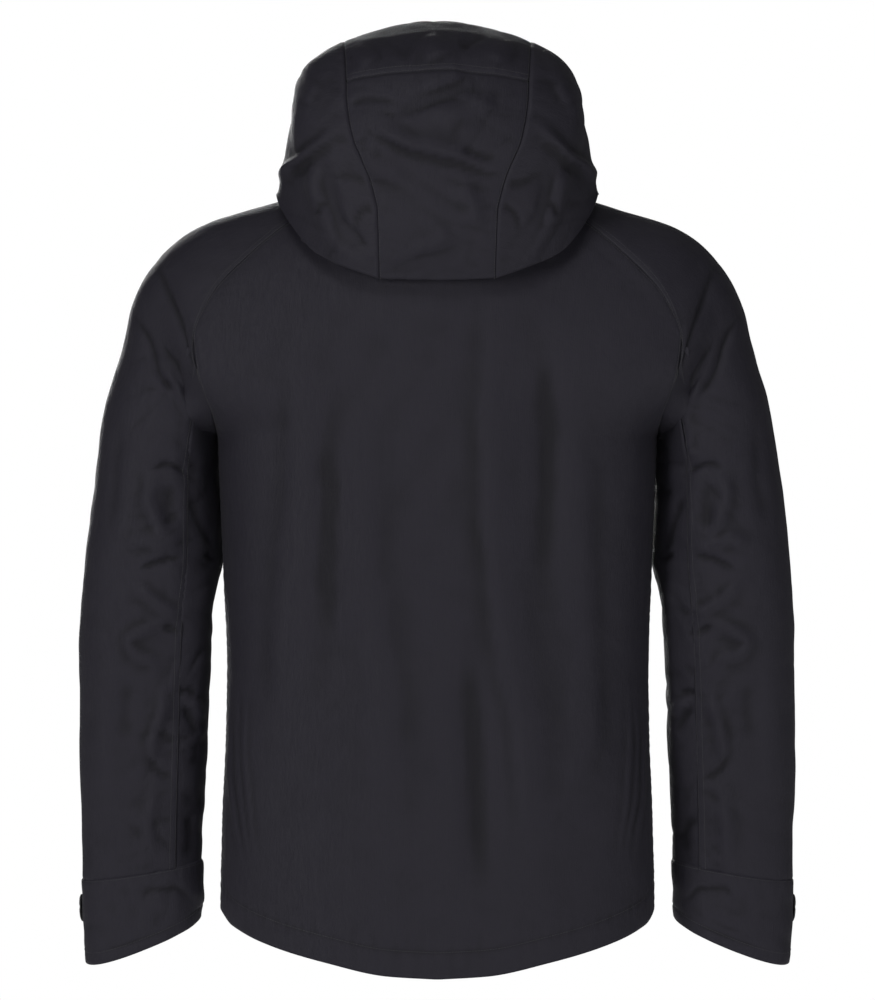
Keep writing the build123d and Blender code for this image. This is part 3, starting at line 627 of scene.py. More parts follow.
SLEEVE_FOLDS = [
    (-3.6, 5, 1.4, 0, [(.280, .714), (.262, .666), (.249, .631), (.240, .600)]),
    (-3.4, 5, 1.4, 0.2, [(.303, .664), (.287, .631), (.272, .596), (.260, .579)]),
    (3.4, 8, 2, 0.2, [(.277, .639), (.270, .611), (.257, .584), (.247, .556), (.247, .529), (.262, .519)]),
    (-3.0, 4, 1.2, 0, [(.276, .636), (.255, .596), (.240, .561)]),
    (-4.2, 4, 1.1, 0.2, [(.286, .507), (.272, .511), (.257, .507), (.240, .496)]),
    (3.6, 7, 2, 0, [(.285, .504), (.288, .481), (.280, .456), (.265, .431)]),
    (-3.4, 9, 2, 0, [(.268, .496), (.268, .470), (.256, .446)]),
    (-3.0, 5, 1.5, 0, [(.247, .484), (.234, .451), (.224, .419)]),
    (-4.4, 4, 1.1, -0.2, [(.298, .407), (.277, .416), (.254, .420)]),
    (-3.0, 4, 1.2, 0, [(.234, .424), (.222, .412)]),
    (3.0, 7, 2, 0, [(.312, .432), (.292, .436), (.267, .429)]),
    (3.2, 7, 2, -0.2, [(.302, .397), (.287, .381), (.267, .366), (.247, .354)]),
    (-3.4, 3.5, 1.1, 0, [(.276, .351), (.262, .346), (.248, .342)]),
    (3.0, 6, 2, 0, [(.272, .356), (.290, .348), (.308, .334), (.300, .322), (.286, .316), (.281, .302)]),
    (-4.0, 3.5, 1.1, 0, [(.266, .281), (.247, .284), (.240, .280)]),
    (2.8, 6, 2, 0, [(.246, .278), (.230, .258)]),
    (-3.0, 5, 1.4, 0, [(.252, .271), (.235, .238)]),
    (3.4, 6, 2, 0.2, [(.272, .284), (.278, .262), (.286, .229), (.284, .206)]),
    (-3.6, 4, 1.2, 0, [(.291, .226), (.281, .206), (.266, .199)]),
    (3.4, 7, 2, 0, [(.283, .190), (.290, .150), (.283, .117)]),
    (-3.2, 7, 2, 0, [(.254, .190), (.242, .160), (.246, .130)]),
    (-4.0, 4, 1.1, 0, [(.294, .095), (.280, .106), (.260, .106), (.245, .095)]),
    (-2.0, 8, 2, 0, [(.318, .560), (.322, .500), (.330, .440)]),
    (1.8, 12, 2, 0, [(.330, .330), (.334, .250), (.332, .170)]),
    (-1.8, 9, 2, 0, [(.308, .300), (.312, .230)]),
]


def sleeve_lift(base, side):
    behind = smooth(base[..., 1] / 0.03 + 0.5)
    table = [(h, w, p, lean * side, [(side * x, z) for x, z in route]) for h, w, p, lean,
             route in SLEEVE_FOLDS]
    ahead = [(h * 0.9, w * 1.1, p, lean, [(side * (0.004 + x), z - 0.019) for x, z in route])
             for h, w, p, lean, route in SLEEVE_FOLDS[1:]]
    lift = folds(base, table, 31 + side) * behind + folds(base, ahead, 41 + side) * (1 - behind)
    reach = side * base[..., 0]
    inner = smooth((0.325 - reach) / 0.05) * smooth((0.66 - base[..., 2]) / 0.06)
    creased = crumple(base, 63 + side, 0.030, 0.0022) * (0.15 + 0.85 * inner)
    return 1.25 * lift + creased + ripple(base, 5 + side, 0.11, 0.0009) + ripple(base, 8, 0.035, 0.0002)


def along_normals(base, distance, heart):
    normal = normals(base)
    if ((base - heart) * normal).sum() < 0:
        normal = -normal
    return base + normal * distance


def swing(piece):
    """Bakes the piece's placement into its mesh; the sleeve is not bent."""
    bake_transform(piece)


for name, side in (("left", 1), ("right", -1)):
    middle = np.array([side * 0.26, -0.01, 0.45])
    raglan = raglan_grid(side)
    base = raglan
    left, low = lengths(base, 0), lengths(base, 1)
    right = left[-1] - left
    lift = sleeve_lift(base, side)
    lift *= smooth(np.minimum(left, right) / 0.012) * 0.7 + 0.3
    lift += seam(left, low, 0.0010) + seam(right, low, 0.0010) + seam(low[:, -1:] - low, left)
    sleeve = cloth(f"raglan_sleeve_{name}", base, lift, middle)
    dress(sleeve, shell, None, f"shoulder_yoke_{name}", f"sleeve_upper_{name}")
    swing(sleeve)
    u, v = grid(44, 224, v0=0.02, v1=CUFF_START + 0.002)
    spread = SLEEVE_SEAM - 0.05 - 0.6 * (1 - smooth(v / 0.14))
    base = sleeve_point(side, mix(spread, 2 * math.pi - spread, u), v)
    lift = sleeve_lift(base, side) - 0.0010
    under = cloth(f"under_sleeve_{name}", base, lift, middle)
    dress(under, shell, None, f"sleeve_under_{name}")
    swing(under)
    z = np.linspace(0.537, 0.628, 40)
    for kind, front, column in (("back", False, 7), ("front", True, -8)):
        rim = raglan[column, ::-1]
        rise = np.maximum.accumulate(rim[:, 2] + np.arange(len(rim)) * 1e-7)
        far = np.stack([np.interp(z, rise, rim[:, k]) for k in range(3)], -1)
        near = body_point(side * 0.965 * np.ones_like(z), z, front)
        share = np.linspace(0, 1, 14)[:, None, None]
        base = along_normals(mix(near[None], far[None], share), -0.0016, HEART)
        facing = cloth(f"armhole_facing_{kind}_{name}", base, ripple(base, 29, 0.03, 0.0002), HEART, 0.0006)
        dress(facing, shell, None)
        swing(facing)
    u, v = grid(40, 30)
    reach = mix(0.084, 0.077, np.abs(2 * u - 1) ** 2)
    angle = np.radians(mix(-54.0, -92.0, v))
    base = np.stack([side * (PIVOT_X + reach * np.cos(angle)), mix(-0.034, 0.042, u),
                     PIVOT_Z + reach * np.sin(angle)], -1)
    gusset = cloth(f"gusset_cloth_{name}", base, ripple(base, 9, 0.03, 0.0006),
                   np.array([side * PIVOT_X, 0, PIVOT_Z]), 0.0007)
    dress(gusset, shell, f"sleeve_{name}", f"underarm_gusset_{name}")


# ---- Cuffs ----
# A double-layer band ends each sleeve. A moulded rubbery tab is welded to its front edge and wraps round
# the outer wrist, where hooks on its inner face grip a strip of loops glued to the band.
rubber, wire, shader = start_material("moulded tab rubber", Roughness=0.55, Sheen_Weight=0.05)
shader.inputs["Specular IOR Level"].default_value = 0.35
place = wire.node("ShaderNodeTexCoord", output="Object")
grain = wire.node("ShaderNodeTexNoise", Vector=place, Scale=2600.0, Detail=2.0)
patchy = wire.node("ShaderNodeTexNoise", Vector=place, Scale=70.0, Detail=3.0)
finish_material(wire, shader, patchy.shade((0.010, 0.010, 0.011), (0.016, 0.016, 0.018)),
                patchy * 0.2 + 0.42,
                grain, distance=0.00008)

fuzz, wire, shader = start_material("hook and loop", Roughness=0.95, Sheen_Weight=0.5)
place = wire.node("ShaderNodeTexCoord", output="Object")
tuft = wire.node("ShaderNodeTexVoronoi", Vector=place, Scale=900.0)
finish_material(wire, shader, tuft.shade((0.022, 0.022, 0.025), (0.008, 0.008, 0.009)), None, tuft,
                distance=0.0004)


def ribbon_end(u, v, square=0.0):
    """Narrows a strip to a rounded end as u reaches 1; returns v about the strip's middle."""
    half = np.sqrt(np.clip(1 - np.clip((u - 0.93) / 0.07, 0, 1) ** 2, 0.02, 1))
    return 0.5 + (v - 0.5) * mix(half, 1.0, square)


for name, side in (("left", 1), ("right", -1)):
    middle = np.array([side * 0.295, -0.038, 0.06])
    u, v = grid(150, 26, v0=CUFF_START - 0.001, v1=1.0)
    u = u * 149 / 150
    base = sleeve_point(side, 2 * math.pi * u, v)
    low = lengths(base, 1)
    lift = sleeve_lift(base, side) * smooth((low[:, -1:] - low) / 0.02) + ripple(base, 14, 0.02, 0.0003)
    lift += seam(low, lengths(base, 0), 0.001) + 0.0006 * smooth(low / 0.004)
    lift -= 0.0008 * np.exp(-((low[:, -1:] - low - 0.012) / 0.0012) ** 2)
    band = cloth(f"cuff_cloth_{name}", base, lift, middle, 0.0016, ring=True)
    dress(band, shell, f"sleeve_{name}", f"cuff_band_{name}")

    def tab_point(u, v):
        return sleeve_point(side, np.radians(mix(-108, -8, u)), mix(0.947, 0.968, ribbon_end(u, v)))
    u, v = grid(120, 26)
    base = tab_point(u, v)
    e, l = lengths(base, 1), lengths(base, 0)
    rim = np.minimum(np.minimum(e, e[:, -1:] - e), np.minimum(l, l[-1] - l))
    lift = 0.0040 - 0.0009 * np.exp(-(rim / 0.0011) ** 2) - 0.0005 * np.exp(-((rim - 0.0032) / 0.0006) ** 2)
    ribs = smooth((u - 0.70) / 0.02) * smooth((0.90 - u) / 0.02) * smooth((rim - 0.0045) / 0.001)
    lift = lift + 0.0006 * ribs * np.sin(l / 0.0030 * 2 * math.pi)
    tab = cloth(f"cuff_tab_moulding_{name}", base, lift, middle, 0.0014)
    dress(tab, rubber, f"cuff_tab_{name}", f"cuff_tab_{name}", slot="cuff_tab")
    for kind, body, inset, stand, thick in (("hook", f"cuff_tab_{name}", (0.35, 0.93, 0.14, 0.86), 0.0022,
                                             0.0004),
                                            ("loop", f"sleeve_{name}", (0.25, 0.97, 0.0, 1.0), 0.0014,
                                             0.0007)):
        u, v = grid(90, 18, *inset)
        base = sleeve_point(side, np.radians(mix(-108, -8, u)), mix(0.947, 0.968, v))
        patch = cloth(f"cuff_{kind}_strip_{name}", base, stand + ripple(base, 15, 0.004, 0.00008), middle,
                      thick)
        dress(patch, fuzz, body, f"cuff_{kind}_patch_{name}", slot="patches")


# ---- Hood ----
# A helmet-size hood that stands up behind the collar: a shaped centre strip from nape to crown, a crown
# panel that carries the stiffened brim, and two side panels, all sewn with taped seams and thrown into soft folds.
HOOD_PROFILE = [(-34, 126, 694), (-12, 139, 722), (15, 146, 770), (40, 146, 826), (66, 137, 876),
                (92, 108, 922),
                (120, 62, 946), (150, 4, 954), (182, -58, 950), (212, -112, 937), (236, -146, 922)]
HOOD_STRIP = [(-34, 58), (10, 60), (26, 68), (44, 84), (70, 91), (236, 95)]
BRIM_SEAM = 0.42
HOOD_CORE = np.array([0.0, 0.0, 0.83])


def hood_strip(side_share, place):
    """The hood's centre strip; place runs from the nape to the brim, in the profile's own steps."""
    y = curve([(s, y) for s, y, _ in HOOD_PROFILE], place)
    z = curve([(s, z) for s, _, z in HOOD_PROFILE], place)
    y2, y1 = (curve([(s, y) for s, y, _ in HOOD_PROFILE], place + d) for d in (2, -2))
    z2, z1 = (curve([(s, z) for s, _, z in HOOD_PROFILE], place + d) for d in (2, -2))
    length = np.hypot(y2 - y1, z2 - z1)
    drop = curve([(-34, 4), (30, 8), (100, 20), (236, 20)], place) * side_share ** 2
    x = side_share * curve(HOOD_STRIP, place)
    return np.stack([x, y + drop * (z1 - z2) / length, z - drop * (y1 - y2) / length], -1) / 1000


def bag_line(turn):
    """The hood's lowest fold, from the centre back round to the side of the chin."""
    x = np.where(turn < 0.5, 0.161 * across(turn * math.pi, 0.02), mix(0.161, 0.112, smooth(turn * 2 - 1)))
    y = curve([(0, .126), (.12, .124), (.25, .106), (.38, .074), (.5, .038), (.7, -.030), (.85, -.080),
               (1, -.112)], turn)
    z = curve([(0, .694), (.12, .699), (.25, .720), (.38, .758), (.5, .781), (.7, .780), (1, .750)], turn)
    return np.stack([x, y, z], -1)


def hood_side_point(side, u, v):
    """A patch between the strip's edge, the lowest fold, the nape and the face opening."""
    u3, v3 = u[..., None], v[..., None]
    top, bottom = hood_strip(np.ones_like(u), mix(-34.0, 236.0, u)), bag_line(mix(0.30, 1.0, u))
    one = np.ones(1)
    corners = [hood_strip(one, -34 * one)[0], hood_strip(one, 236 * one)[0], bag_line(0.30 * one)[0],
               bag_line(one)[0]]
    edge = bag_line(mix(0.118, 0.30, v))
    first, last = bag_line(0.118 * one)[0], corners[2]
    back = edge + mix(corners[0] - first, corners[2] - last, v3)
    bow = np.sin(math.pi * v3)
    face = mix(corners[1], corners[3], v3) + bow * np.array([0.010, 0.016, 0.0])
    ruled = mix(top, bottom, v3) + mix(back, face, u3)
    ruled = ruled - mix(mix(corners[0], corners[1], u3), mix(corners[2], corners[3], u3), v3)
    swell = 0.86 * np.sin(math.pi * v ** 0.65) ** 1.4 + 0.34 * np.sin(math.pi * np.clip(v / 0.5, 0,
                                                                                        1)) ** 1.2
    bulge = swell * (0.25 + 0.75 * np.sin(math.pi * np.minimum(u * 1.15, 1)) ** 0.8)
    ruled = ruled + bulge[..., None] * np.array([0.021, 0.0, 0.014])
    return ruled * np.array([side, 1, 1])


HOOD_FOLDS = [
    (-2.4, 4, 1.4, 0, [(.087, .869), (.070, .873), (.034, .868)]),
    (-4.0, 7, 2, 0.2, [(.045, .858), (.020, .866), (-.010, .879), (-.033, .891), (-.048, .902)]),
    (2.6, 14, 2, 0, [(.020, .886), (-.008, .893), (-.030, .902)]),
    (2.8, 11, 2, 0, [(.010, .850), (-.030, .864), (-.062, .874)]),
    (-3.4, 3.5, 1.2, 0,
     [(.067, .839), (.047, .828), (.034, .821), (-.010, .809), (-.040, .802), (-.063, .797)]),
    (-2.8, 3.5, 1.2, 0, [(-.022, .823), (-.040, .818), (-.060, .814)]),
    (3.0, 7, 2, 0.2, [(.060, .846), (.034, .832), (-.012, .820), (-.050, .808)]),
    (-3.2, 4, 1.2, 0, [(.107, .796), (.087, .797), (.067, .789), (.054, .784), (.034, .776), (.020, .773)]),
    (-3.0, 4, 1.2, 0, [(-.063, .786), (-.080, .789), (-.100, .796), (-.108, .794)]),
    (2.4, 10, 2, 0, [(.080, .812), (.055, .802), (.025, .792)]),
    (2.2, 9, 2, 0, [(-.020, .794), (-.036, .768), (-.034, .745)]),
    (-2.6, 3, 1.2, 0, [(.084, .738), (.079, .755), (.070, .764), (.062, .764)]),
    (-2.6, 3, 1.2, 0, [(-.084, .738), (-.079, .755), (-.070, .764), (-.062, .764)]),
    (-2.8, 6, 1.6, 0, [(.054, .703), (.024, .709), (-.006, .716), (-.032, .730)]),
    (-2.4, 4, 1.4, 0, [(-.033, .728), (-.032, .714), (-.043, .704)]),
    (2.2, 9, 2, 0, [(.030, .722), (.004, .730), (-.016, .742)]),
    (-2.4, 8, 2, 0, [(.054, .943), (.038, .930), (.024, .916)]),
    (-2.4, 8, 2, 0, [(-.046, .941), (-.034, .934), (-.020, .922)]),
    (2.0, 10, 2, 0, [(.010, .944), (.004, .926), (-.002, .912)]),
    (1.8, 9, 2, 0, [(-.075, .934), (-.062, .920), (-.060, .908)]),
    (1.8, 9, 2, 0, [(.082, .930), (.074, .916), (.066, .906)]),
]
for mirror in (1, -1):
    for row in [(4.2, 5.5, 1.6, 0.25 * mirror,
                 [(.100, .848), (.112, .834), (.124, .825), (.140, .813), (.152, .801), (.156, .790)]),
                (-3.4, 6, 1.8, 0, [(.104, .836), (.118, .822), (.132, .808), (.142, .792)]),
                (-3.2, 7, 1.8, 0,
                 [(.117, .816), (.110, .794), (.106, .774), (.100, .754), (.087, .731), (.067, .713)]),
                (2.8, 7, 2, 0, [(.128, .806), (.122, .786), (.116, .764), (.104, .742)]),
                (-2.6, 5, 1.5, 0, [(.112, .776), (.116, .765), (.114, .756)]),
                (-3.0, 4, 1.3, 0, [(.104, .760), (.087, .740), (.070, .725)]),
                (-2.0, 8, 2, 0, [(.100, .896), (.112, .880), (.122, .858)]),
                (1.8, 8, 2, 0, [(.118, .892), (.132, .868)])]:
        HOOD_FOLDS.append((*row[:4], [(mirror * x, z) for x, z in row[4]]))


def hood_lift(base):
    behind = smooth(base[..., 1] / 0.05)
    lift = 1.7 * folds(base, HOOD_FOLDS, 51) * behind + ripple(base, 17, 0.10, 0.0012) + crumple(base, 67,
                                                                                                 0.034,
                                                                                                 0.0016)
    return np.where(lift < 0, 0.0018 * np.tanh(lift / 0.0018), lift)


for kind, v0, v1, flat, area in (("hood_centre", 0.0, BRIM_SEAM, (0.185, 0.215), 0.031),
                                 ("hood_crown", BRIM_SEAM, 1.0, (0.195, 0.29), 0.053)):
    u, v = grid(64, 76, v0=v0, v1=v1)
    base = hood_strip(mix(-1, 1, u), mix(-34.0, 236.0, v))
    left, low = lengths(base, 0), lengths(base, 1)
    lift = hood_lift(base) + seam(left, low) + seam(left[-1] - left, low)
    lift += seam(low, left, 0.0012) * (v0 > 0) + seam(low[:, -1:] - low, left, 0.0012)
    panel = cloth(f"{kind}_cloth", base, lift, HOOD_CORE)
    dress(panel, shell, "hood", f"{kind}_panel")
for name, side in (("left", 1), ("right", -1)):
    u, v = grid(150, 60)
    base = hood_side_point(side, u, v)
    left, low = lengths(base, 0), lengths(base, 1)
    lift = hood_lift(base) + seam(low, left) + seam(left[-1] - left, low) + 0.0006 * np.exp(-low / 0.004)
    panel = cloth(f"hood_side_cloth_{name}", base, lift, HOOD_CORE)
    dress(panel, shell, "hood", f"hood_side_{name}")

    def neck_line(turn):
        angle = turn * math.pi
        front = (1 - np.cos(angle)) / 2
        z = mix(0.767, 0.710, front ** 3) + 0.020 * np.sin(angle) ** 2
        y = mix(0.099, zip_y(z) - 0.005, front) + 0.004 * np.sin(angle) ** 2 * (0.5 - front)
        return np.stack([0.110 * np.sin(angle), y, z + 0.007 + 0.012 * front], -1)
    u, v = grid(110, 22)
    turn = mix(0.0, 0.62, u)
    outer = bag_line(turn)
    shrink = 1 - 0.0015 / np.hypot(outer[..., 0], outer[..., 1])
    start = outer * np.stack([shrink, shrink, np.ones_like(u)], -1) + np.array([0, 0, 0.0012])
    base = mix(start, neck_line(turn), v[..., None]) * np.array([side, 1, 1])
    under = cloth(f"hood_base_cloth_{name}", base, ripple(base, 19, 0.04, 0.0006), np.array([0, 0, 3.0]))
    dress(under, shell, "hood", f"hood_base_{name}")


u, v = grid(50, 10, v0=0.955, v1=0.995)
strips = [hood_strip(mix(-0.98, 0.98, u), mix(-34.0, 236.0, v))]
for side in (1, -1):
    u, v = grid(10, 60, u0=0.955, u1=0.995, v0=0.03, v1=0.97)
    strips.append(hood_side_point(side, u, v))
for count, base in enumerate(strips):
    facing = cloth(f"hood_facing_{count}", along_normals(base, -0.0020, HOOD_CORE),
                   ripple(base, 20, 0.03, 0.0003), HOOD_CORE, 0.0008)
    dress(facing, backer, "hood", *(["hood_facing"] if count == 0 else []), slot="lining")
    (0.187, 0.017) if count == 0 else (0.163, 0.016)
    0.0031 if count == 0 else 0.0017

sheet_plastic, wire, shader = start_material("brim sheet plastic", Roughness=0.5)
place = wire.node("ShaderNodeTexCoord", output="Object")
grain = wire.node("ShaderNodeTexNoise", Vector=place, Scale=400.0, Detail=4.0)
finish_material(wire, shader, grain.shade((0.018, 0.018, 0.019), (0.030, 0.030, 0.032)), grain * 0.2 + 0.4,
                grain, distance=0.0001)
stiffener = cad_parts["brim_stiffener"]
stiffener.data.materials.clear()
stiffener.data.materials.append(sheet_plastic)


# ---- Seam tapes ----
# Waterproof tape welded over the seams on the inside: along the hood's two long seams, round the armholes
# and down the body's side seams. It also keeps light out of the needle holes.
tape_cloth, wire, shader = start_material("seam tape film", Roughness=0.45)
place = wire.node("ShaderNodeTexCoord", output="Object")
film = wire.node("ShaderNodeTexNoise", Vector=place, Scale=300.0, Detail=3.0)
finish_material(wire, shader, film.shade((0.010, 0.010, 0.011), (0.016, 0.016, 0.018)), film * 0.25 + 0.35,
                film, distance=0.0001)


def tape(name, base, heart, body, inset, *nodes, flat, area=None):
    piece = cloth(name, along_normals(base, -inset, heart), ripple(base, 23, 0.05, 0.0001), heart, 0.0004)
    dress(piece, tape_cloth, body, *nodes, slot="zip_tape")


for name, side in (("left", 1), ("right", -1)):
    u, v = grid(7, 120, u0=0.90, u1=1.0)
    strip = hood_strip(side * u, mix(-34.0, 236.0, v))
    u, v = grid(120, 7, v0=0.005, v1=0.06)
    flank = np.swapaxes(hood_side_point(side, u, v), 0, 1)
    tape(f"hood_seam_tape_{name}", np.concatenate([strip, flank]), HOOD_CORE, "hood", 0.0026,
         flat=(0.026, 0.475), area=0.0096)
    z = np.linspace(0.545, 0.765, 60)
    for kind, front in (("back", False), ("front", True)):
        inner = body_point(side * 0.955 * np.ones_like(z), z, front)
        outer = body_point(side * np.ones_like(z), z, front)
        share = np.linspace(0, 1.6, 9)[:, None, None]
        base = inner[None] + (outer - inner)[None] * share
        tape(f"armhole_tape_{kind}_{name}", base, HEART, "torso", 0.0030, flat=(0.010, 0.31), area=0.0012)
    z, turn = grid(80, 16, 0.112, 0.505, -0.11, 0.11)
    angle = math.pi / 2 - np.abs(turn)
    y = np.where(turn > 0, zip_y(z), curve(BACK_DEPTH, z)) * deep(angle)
    base = np.stack([side * (curve(BODY_WIDTH, z) * across(angle) - 0.0022), y, z], -1)
    tape(f"side_tape_{name}", base, HEART, "torso", 0.0, *(["side_seam_tape"] if side > 0 else []),
         flat=(0.394, 0.029), area=0.0110)


# ---- Collar, hem facing, neck patch and hanger loop ----
# A standing collar of two layers, shell outside and soft tricot inside. The hem is faced with the same
# tricot, a patch strengthens the back neck, and a braided loop above it hangs the jacket on a hook.
def collar_point(inset, u, v):
    angle = mix(-0.966, 0.966, u) * math.pi
    front = (1 - np.cos(angle)) / 2
    foot = mix(0.767, 0.710, front ** 3) + 0.020 * np.sin(angle) ** 2
    z = mix(foot, mix(0.824, CHIN, front), v)
    y = mix(0.094 - 0.008 * v - inset, zip_y(z) + inset, front) + 0.004 * np.sin(angle) ** 2 * (0.5 - front)
    return np.stack([(NECK_HALF - 0.003 - inset) * (1 - 0.10 * v) * np.sin(angle), y, z], -1)


def neck_edge(x):
    """The front panels' neck edge at a given x, a little inside the cloth."""
    share = solve(lambda f: body_point(f, neck_height(f, True), True)[..., 0], np.abs(x))
    edge = body_point(np.sign(x) * share, neck_height(share, True), True)
    return edge + np.array([0.0, 0.002, 0.0])


COLLAR_CORE = np.array([0.0, 0.0, 0.78])
SPREAD = 0.25
u, v = grid(200, 38, v0=-SPREAD)
base = collar_point(0.0, u, np.where(v < 0, 0.3 * v, v))
flare = smooth((0.966 * math.pi * np.abs(2 * u - 1) - 1.5) / 0.5) * np.clip(-v / SPREAD, 0, 1)
base = mix(base, neck_edge(base[..., 0]), flare[..., None])
left, low = lengths(base, 0), lengths(base, 1)
lift = ripple(base, 25, 0.05, 0.0007) + seam(low[:, -1:] - low, left) + seam(low, left)
lift += seam(left, low) + seam(left[-1] - left, low)
collar = cloth("collar_cloth", base, lift, COLLAR_CORE)
dress(collar, shell, "torso", "collar")
u, v = grid(200, 30)
base = collar_point(0.0038, u, v)
inside = cloth("collar_lining", base, ripple(base, 26, 0.06, 0.0004), COLLAR_CORE, 0.0008)
dress(inside, backer, "torso", "collar_facing", slot="lining")

u, v = grid(160, 12, v0=0.004, v1=0.04)
fraction = mix(-0.98, 0.98, u)
base = body_point(fraction, mix(hem_height(fraction, False), neck_height(fraction, False), v), False)
facing = cloth("hem_facing_back", along_normals(base, -0.0026, HEART), ripple(base, 27, 0.05, 0.0002),
               HEART, 0.0008)
dress(facing, backer, "torso", "hem_facing", slot="lining")
for name, side in (("left", 1), ("right", -1)):
    u, v = grid(100, 12, v0=0.006, v1=0.042)
    base = front_strip(side, lambda z: np.full_like(z, 0.075), lambda z: np.full_like(z, 0.985), u, v)
    facing = cloth(f"hem_facing_{name}", along_normals(base, -0.0026, HEART),
                   ripple(base, 28, 0.05, 0.0002), HEART, 0.0008)
    dress(facing, backer, "torso", slot="lining")

u, v = grid(60, 30, v0=0.925, v1=0.965)
fraction = mix(-0.1, 0.1, u)
base = body_point(fraction, mix(hem_height(fraction, False), neck_height(fraction, False), v), False)
patch = cloth("neck_patch_cloth", along_normals(base, -0.0024, HEART), ripple(base, 29, 0.02, 0.0001),
              HEART, 0.0008)
dress(patch, backer, "torso", "neck_patch", slot="patches")

low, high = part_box("hanger_loop")
middle, reach = (low + high) / 2, (high[0] - low[0]) / 2 - 0.0006
rise = np.array([0.0, 0.28, 1.0]) / math.hypot(0.28, 1.0)
span = (high[2] - low[2]) - 0.0015
angle, width = grid(90, 14, 0.0, math.pi, -1.0, 1.0)
root = np.array([middle[0], middle[1], low[2] + 0.001])
depth = (high[1] - low[1]) * 0.30
sag = np.stack([reach * np.cos(angle), (high[1] - middle[1]) * 0.2 * np.sin(angle) + depth * width,
                span * np.sin(angle)], -1)
weave_lift = 0.00025 * np.sin(angle * reach / 0.0011 * 2 * math.pi + width * 9) * np.cos(width * 9)
loop = cloth("hanger_loop_braid", root + sag, weave_lift, root, 0.0010)
dress(loop, tape_cloth, "torso", "hanger_loop", slot="hanger_loop")

metal, wire, shader = start_material("blackened metal", Metallic=1.0)
place = wire.node("ShaderNodeTexCoord", output="Object")
worn = wire.node("ShaderNodeTexNoise", Vector=place, Scale=420.0, Detail=5.0, Roughness=0.7)
brushed = wire.node("ShaderNodeTexNoise", Vector=place, Scale=3000.0, Detail=2.0)
finish_material(wire, shader, worn.shade((0.030, 0.030, 0.033), (0.070, 0.070, 0.076)), worn * 0.3 + 0.22,
                brushed, distance=0.00004)


def repaint(node, material):
    """A CAD node keeps its shape and gets a finished material."""
    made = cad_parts[node]
    made.data.materials.clear()
    made.data.materials.append(material)


repaint("hem_eyelets", metal)


# ---- Hand pocket bags ----
# Each hand pocket is a shallow bag of brushed tricot, sewn to the back of the front panels.
for name, side in (("left", 1), ("right", -1)):
    u, v = grid(90, 130)
    panel = front_strip(side, lambda z: np.full_like(z, 0.34), lambda z: np.full_like(z, 0.90), u,
                        mix(0.055, 0.42, v))
    full = smooth(2.4 * np.sin(math.pi * u)) * smooth(2.4 * np.sin(math.pi * v))
    normal = normals(panel)
    if ((panel - HEART) * normal).sum() < 0:
        normal = -normal
    base = panel - normal * (0.0026 + 0.015 * full)[..., None]
    bag = cloth(f"pocket_bag_cloth_{name}", base, ripple(base, 33, 0.05, 0.0008) * full, HEART, 0.0008)
    dress(bag, backer, "torso", f"pocket_bag_{name}", slot="lining")


# ---- Front zip ----
# A full-length coil zip: two helical coils of nylon sewn to woven tapes, with a moulded box and pin at the
# foot and stops at the chin. A storm flap and a soft chin guard lie behind it.
nylon, wire, shader = start_material("zip coil nylon")
place = wire.node("ShaderNodeTexCoord", output="Object")
rubbed = wire.node("ShaderNodeTexNoise", Vector=place, Scale=500.0, Detail=3.0)
finish_material(wire, shader, rubbed.shade((0.012, 0.012, 0.013), (0.026, 0.026, 0.028)),
                rubbed * 0.3 + 0.25, rubbed, distance=0.00005)

woven, wire, shader = start_material("woven zip tape", Sheen_Weight=0.1)
uv = wire.node("ShaderNodeTexCoord", output="UV")
split = wire.node("ShaderNodeSeparateXYZ", i0=uv)
upwards = Wire(wire.tree, split.socket.node.outputs[1])
twill = ((split + upwards) * (2 * math.pi / 0.0009)).sine()
cords = (split * (2 * math.pi / 0.0016)).sine()
height = twill * 0.3 + cords * 0.5 + 0.5
finish_material(wire, shader, height.shade((0.008, 0.008, 0.009), (0.018, 0.018, 0.020)),
                height * 0.1 + 0.7, height, distance=0.0002)


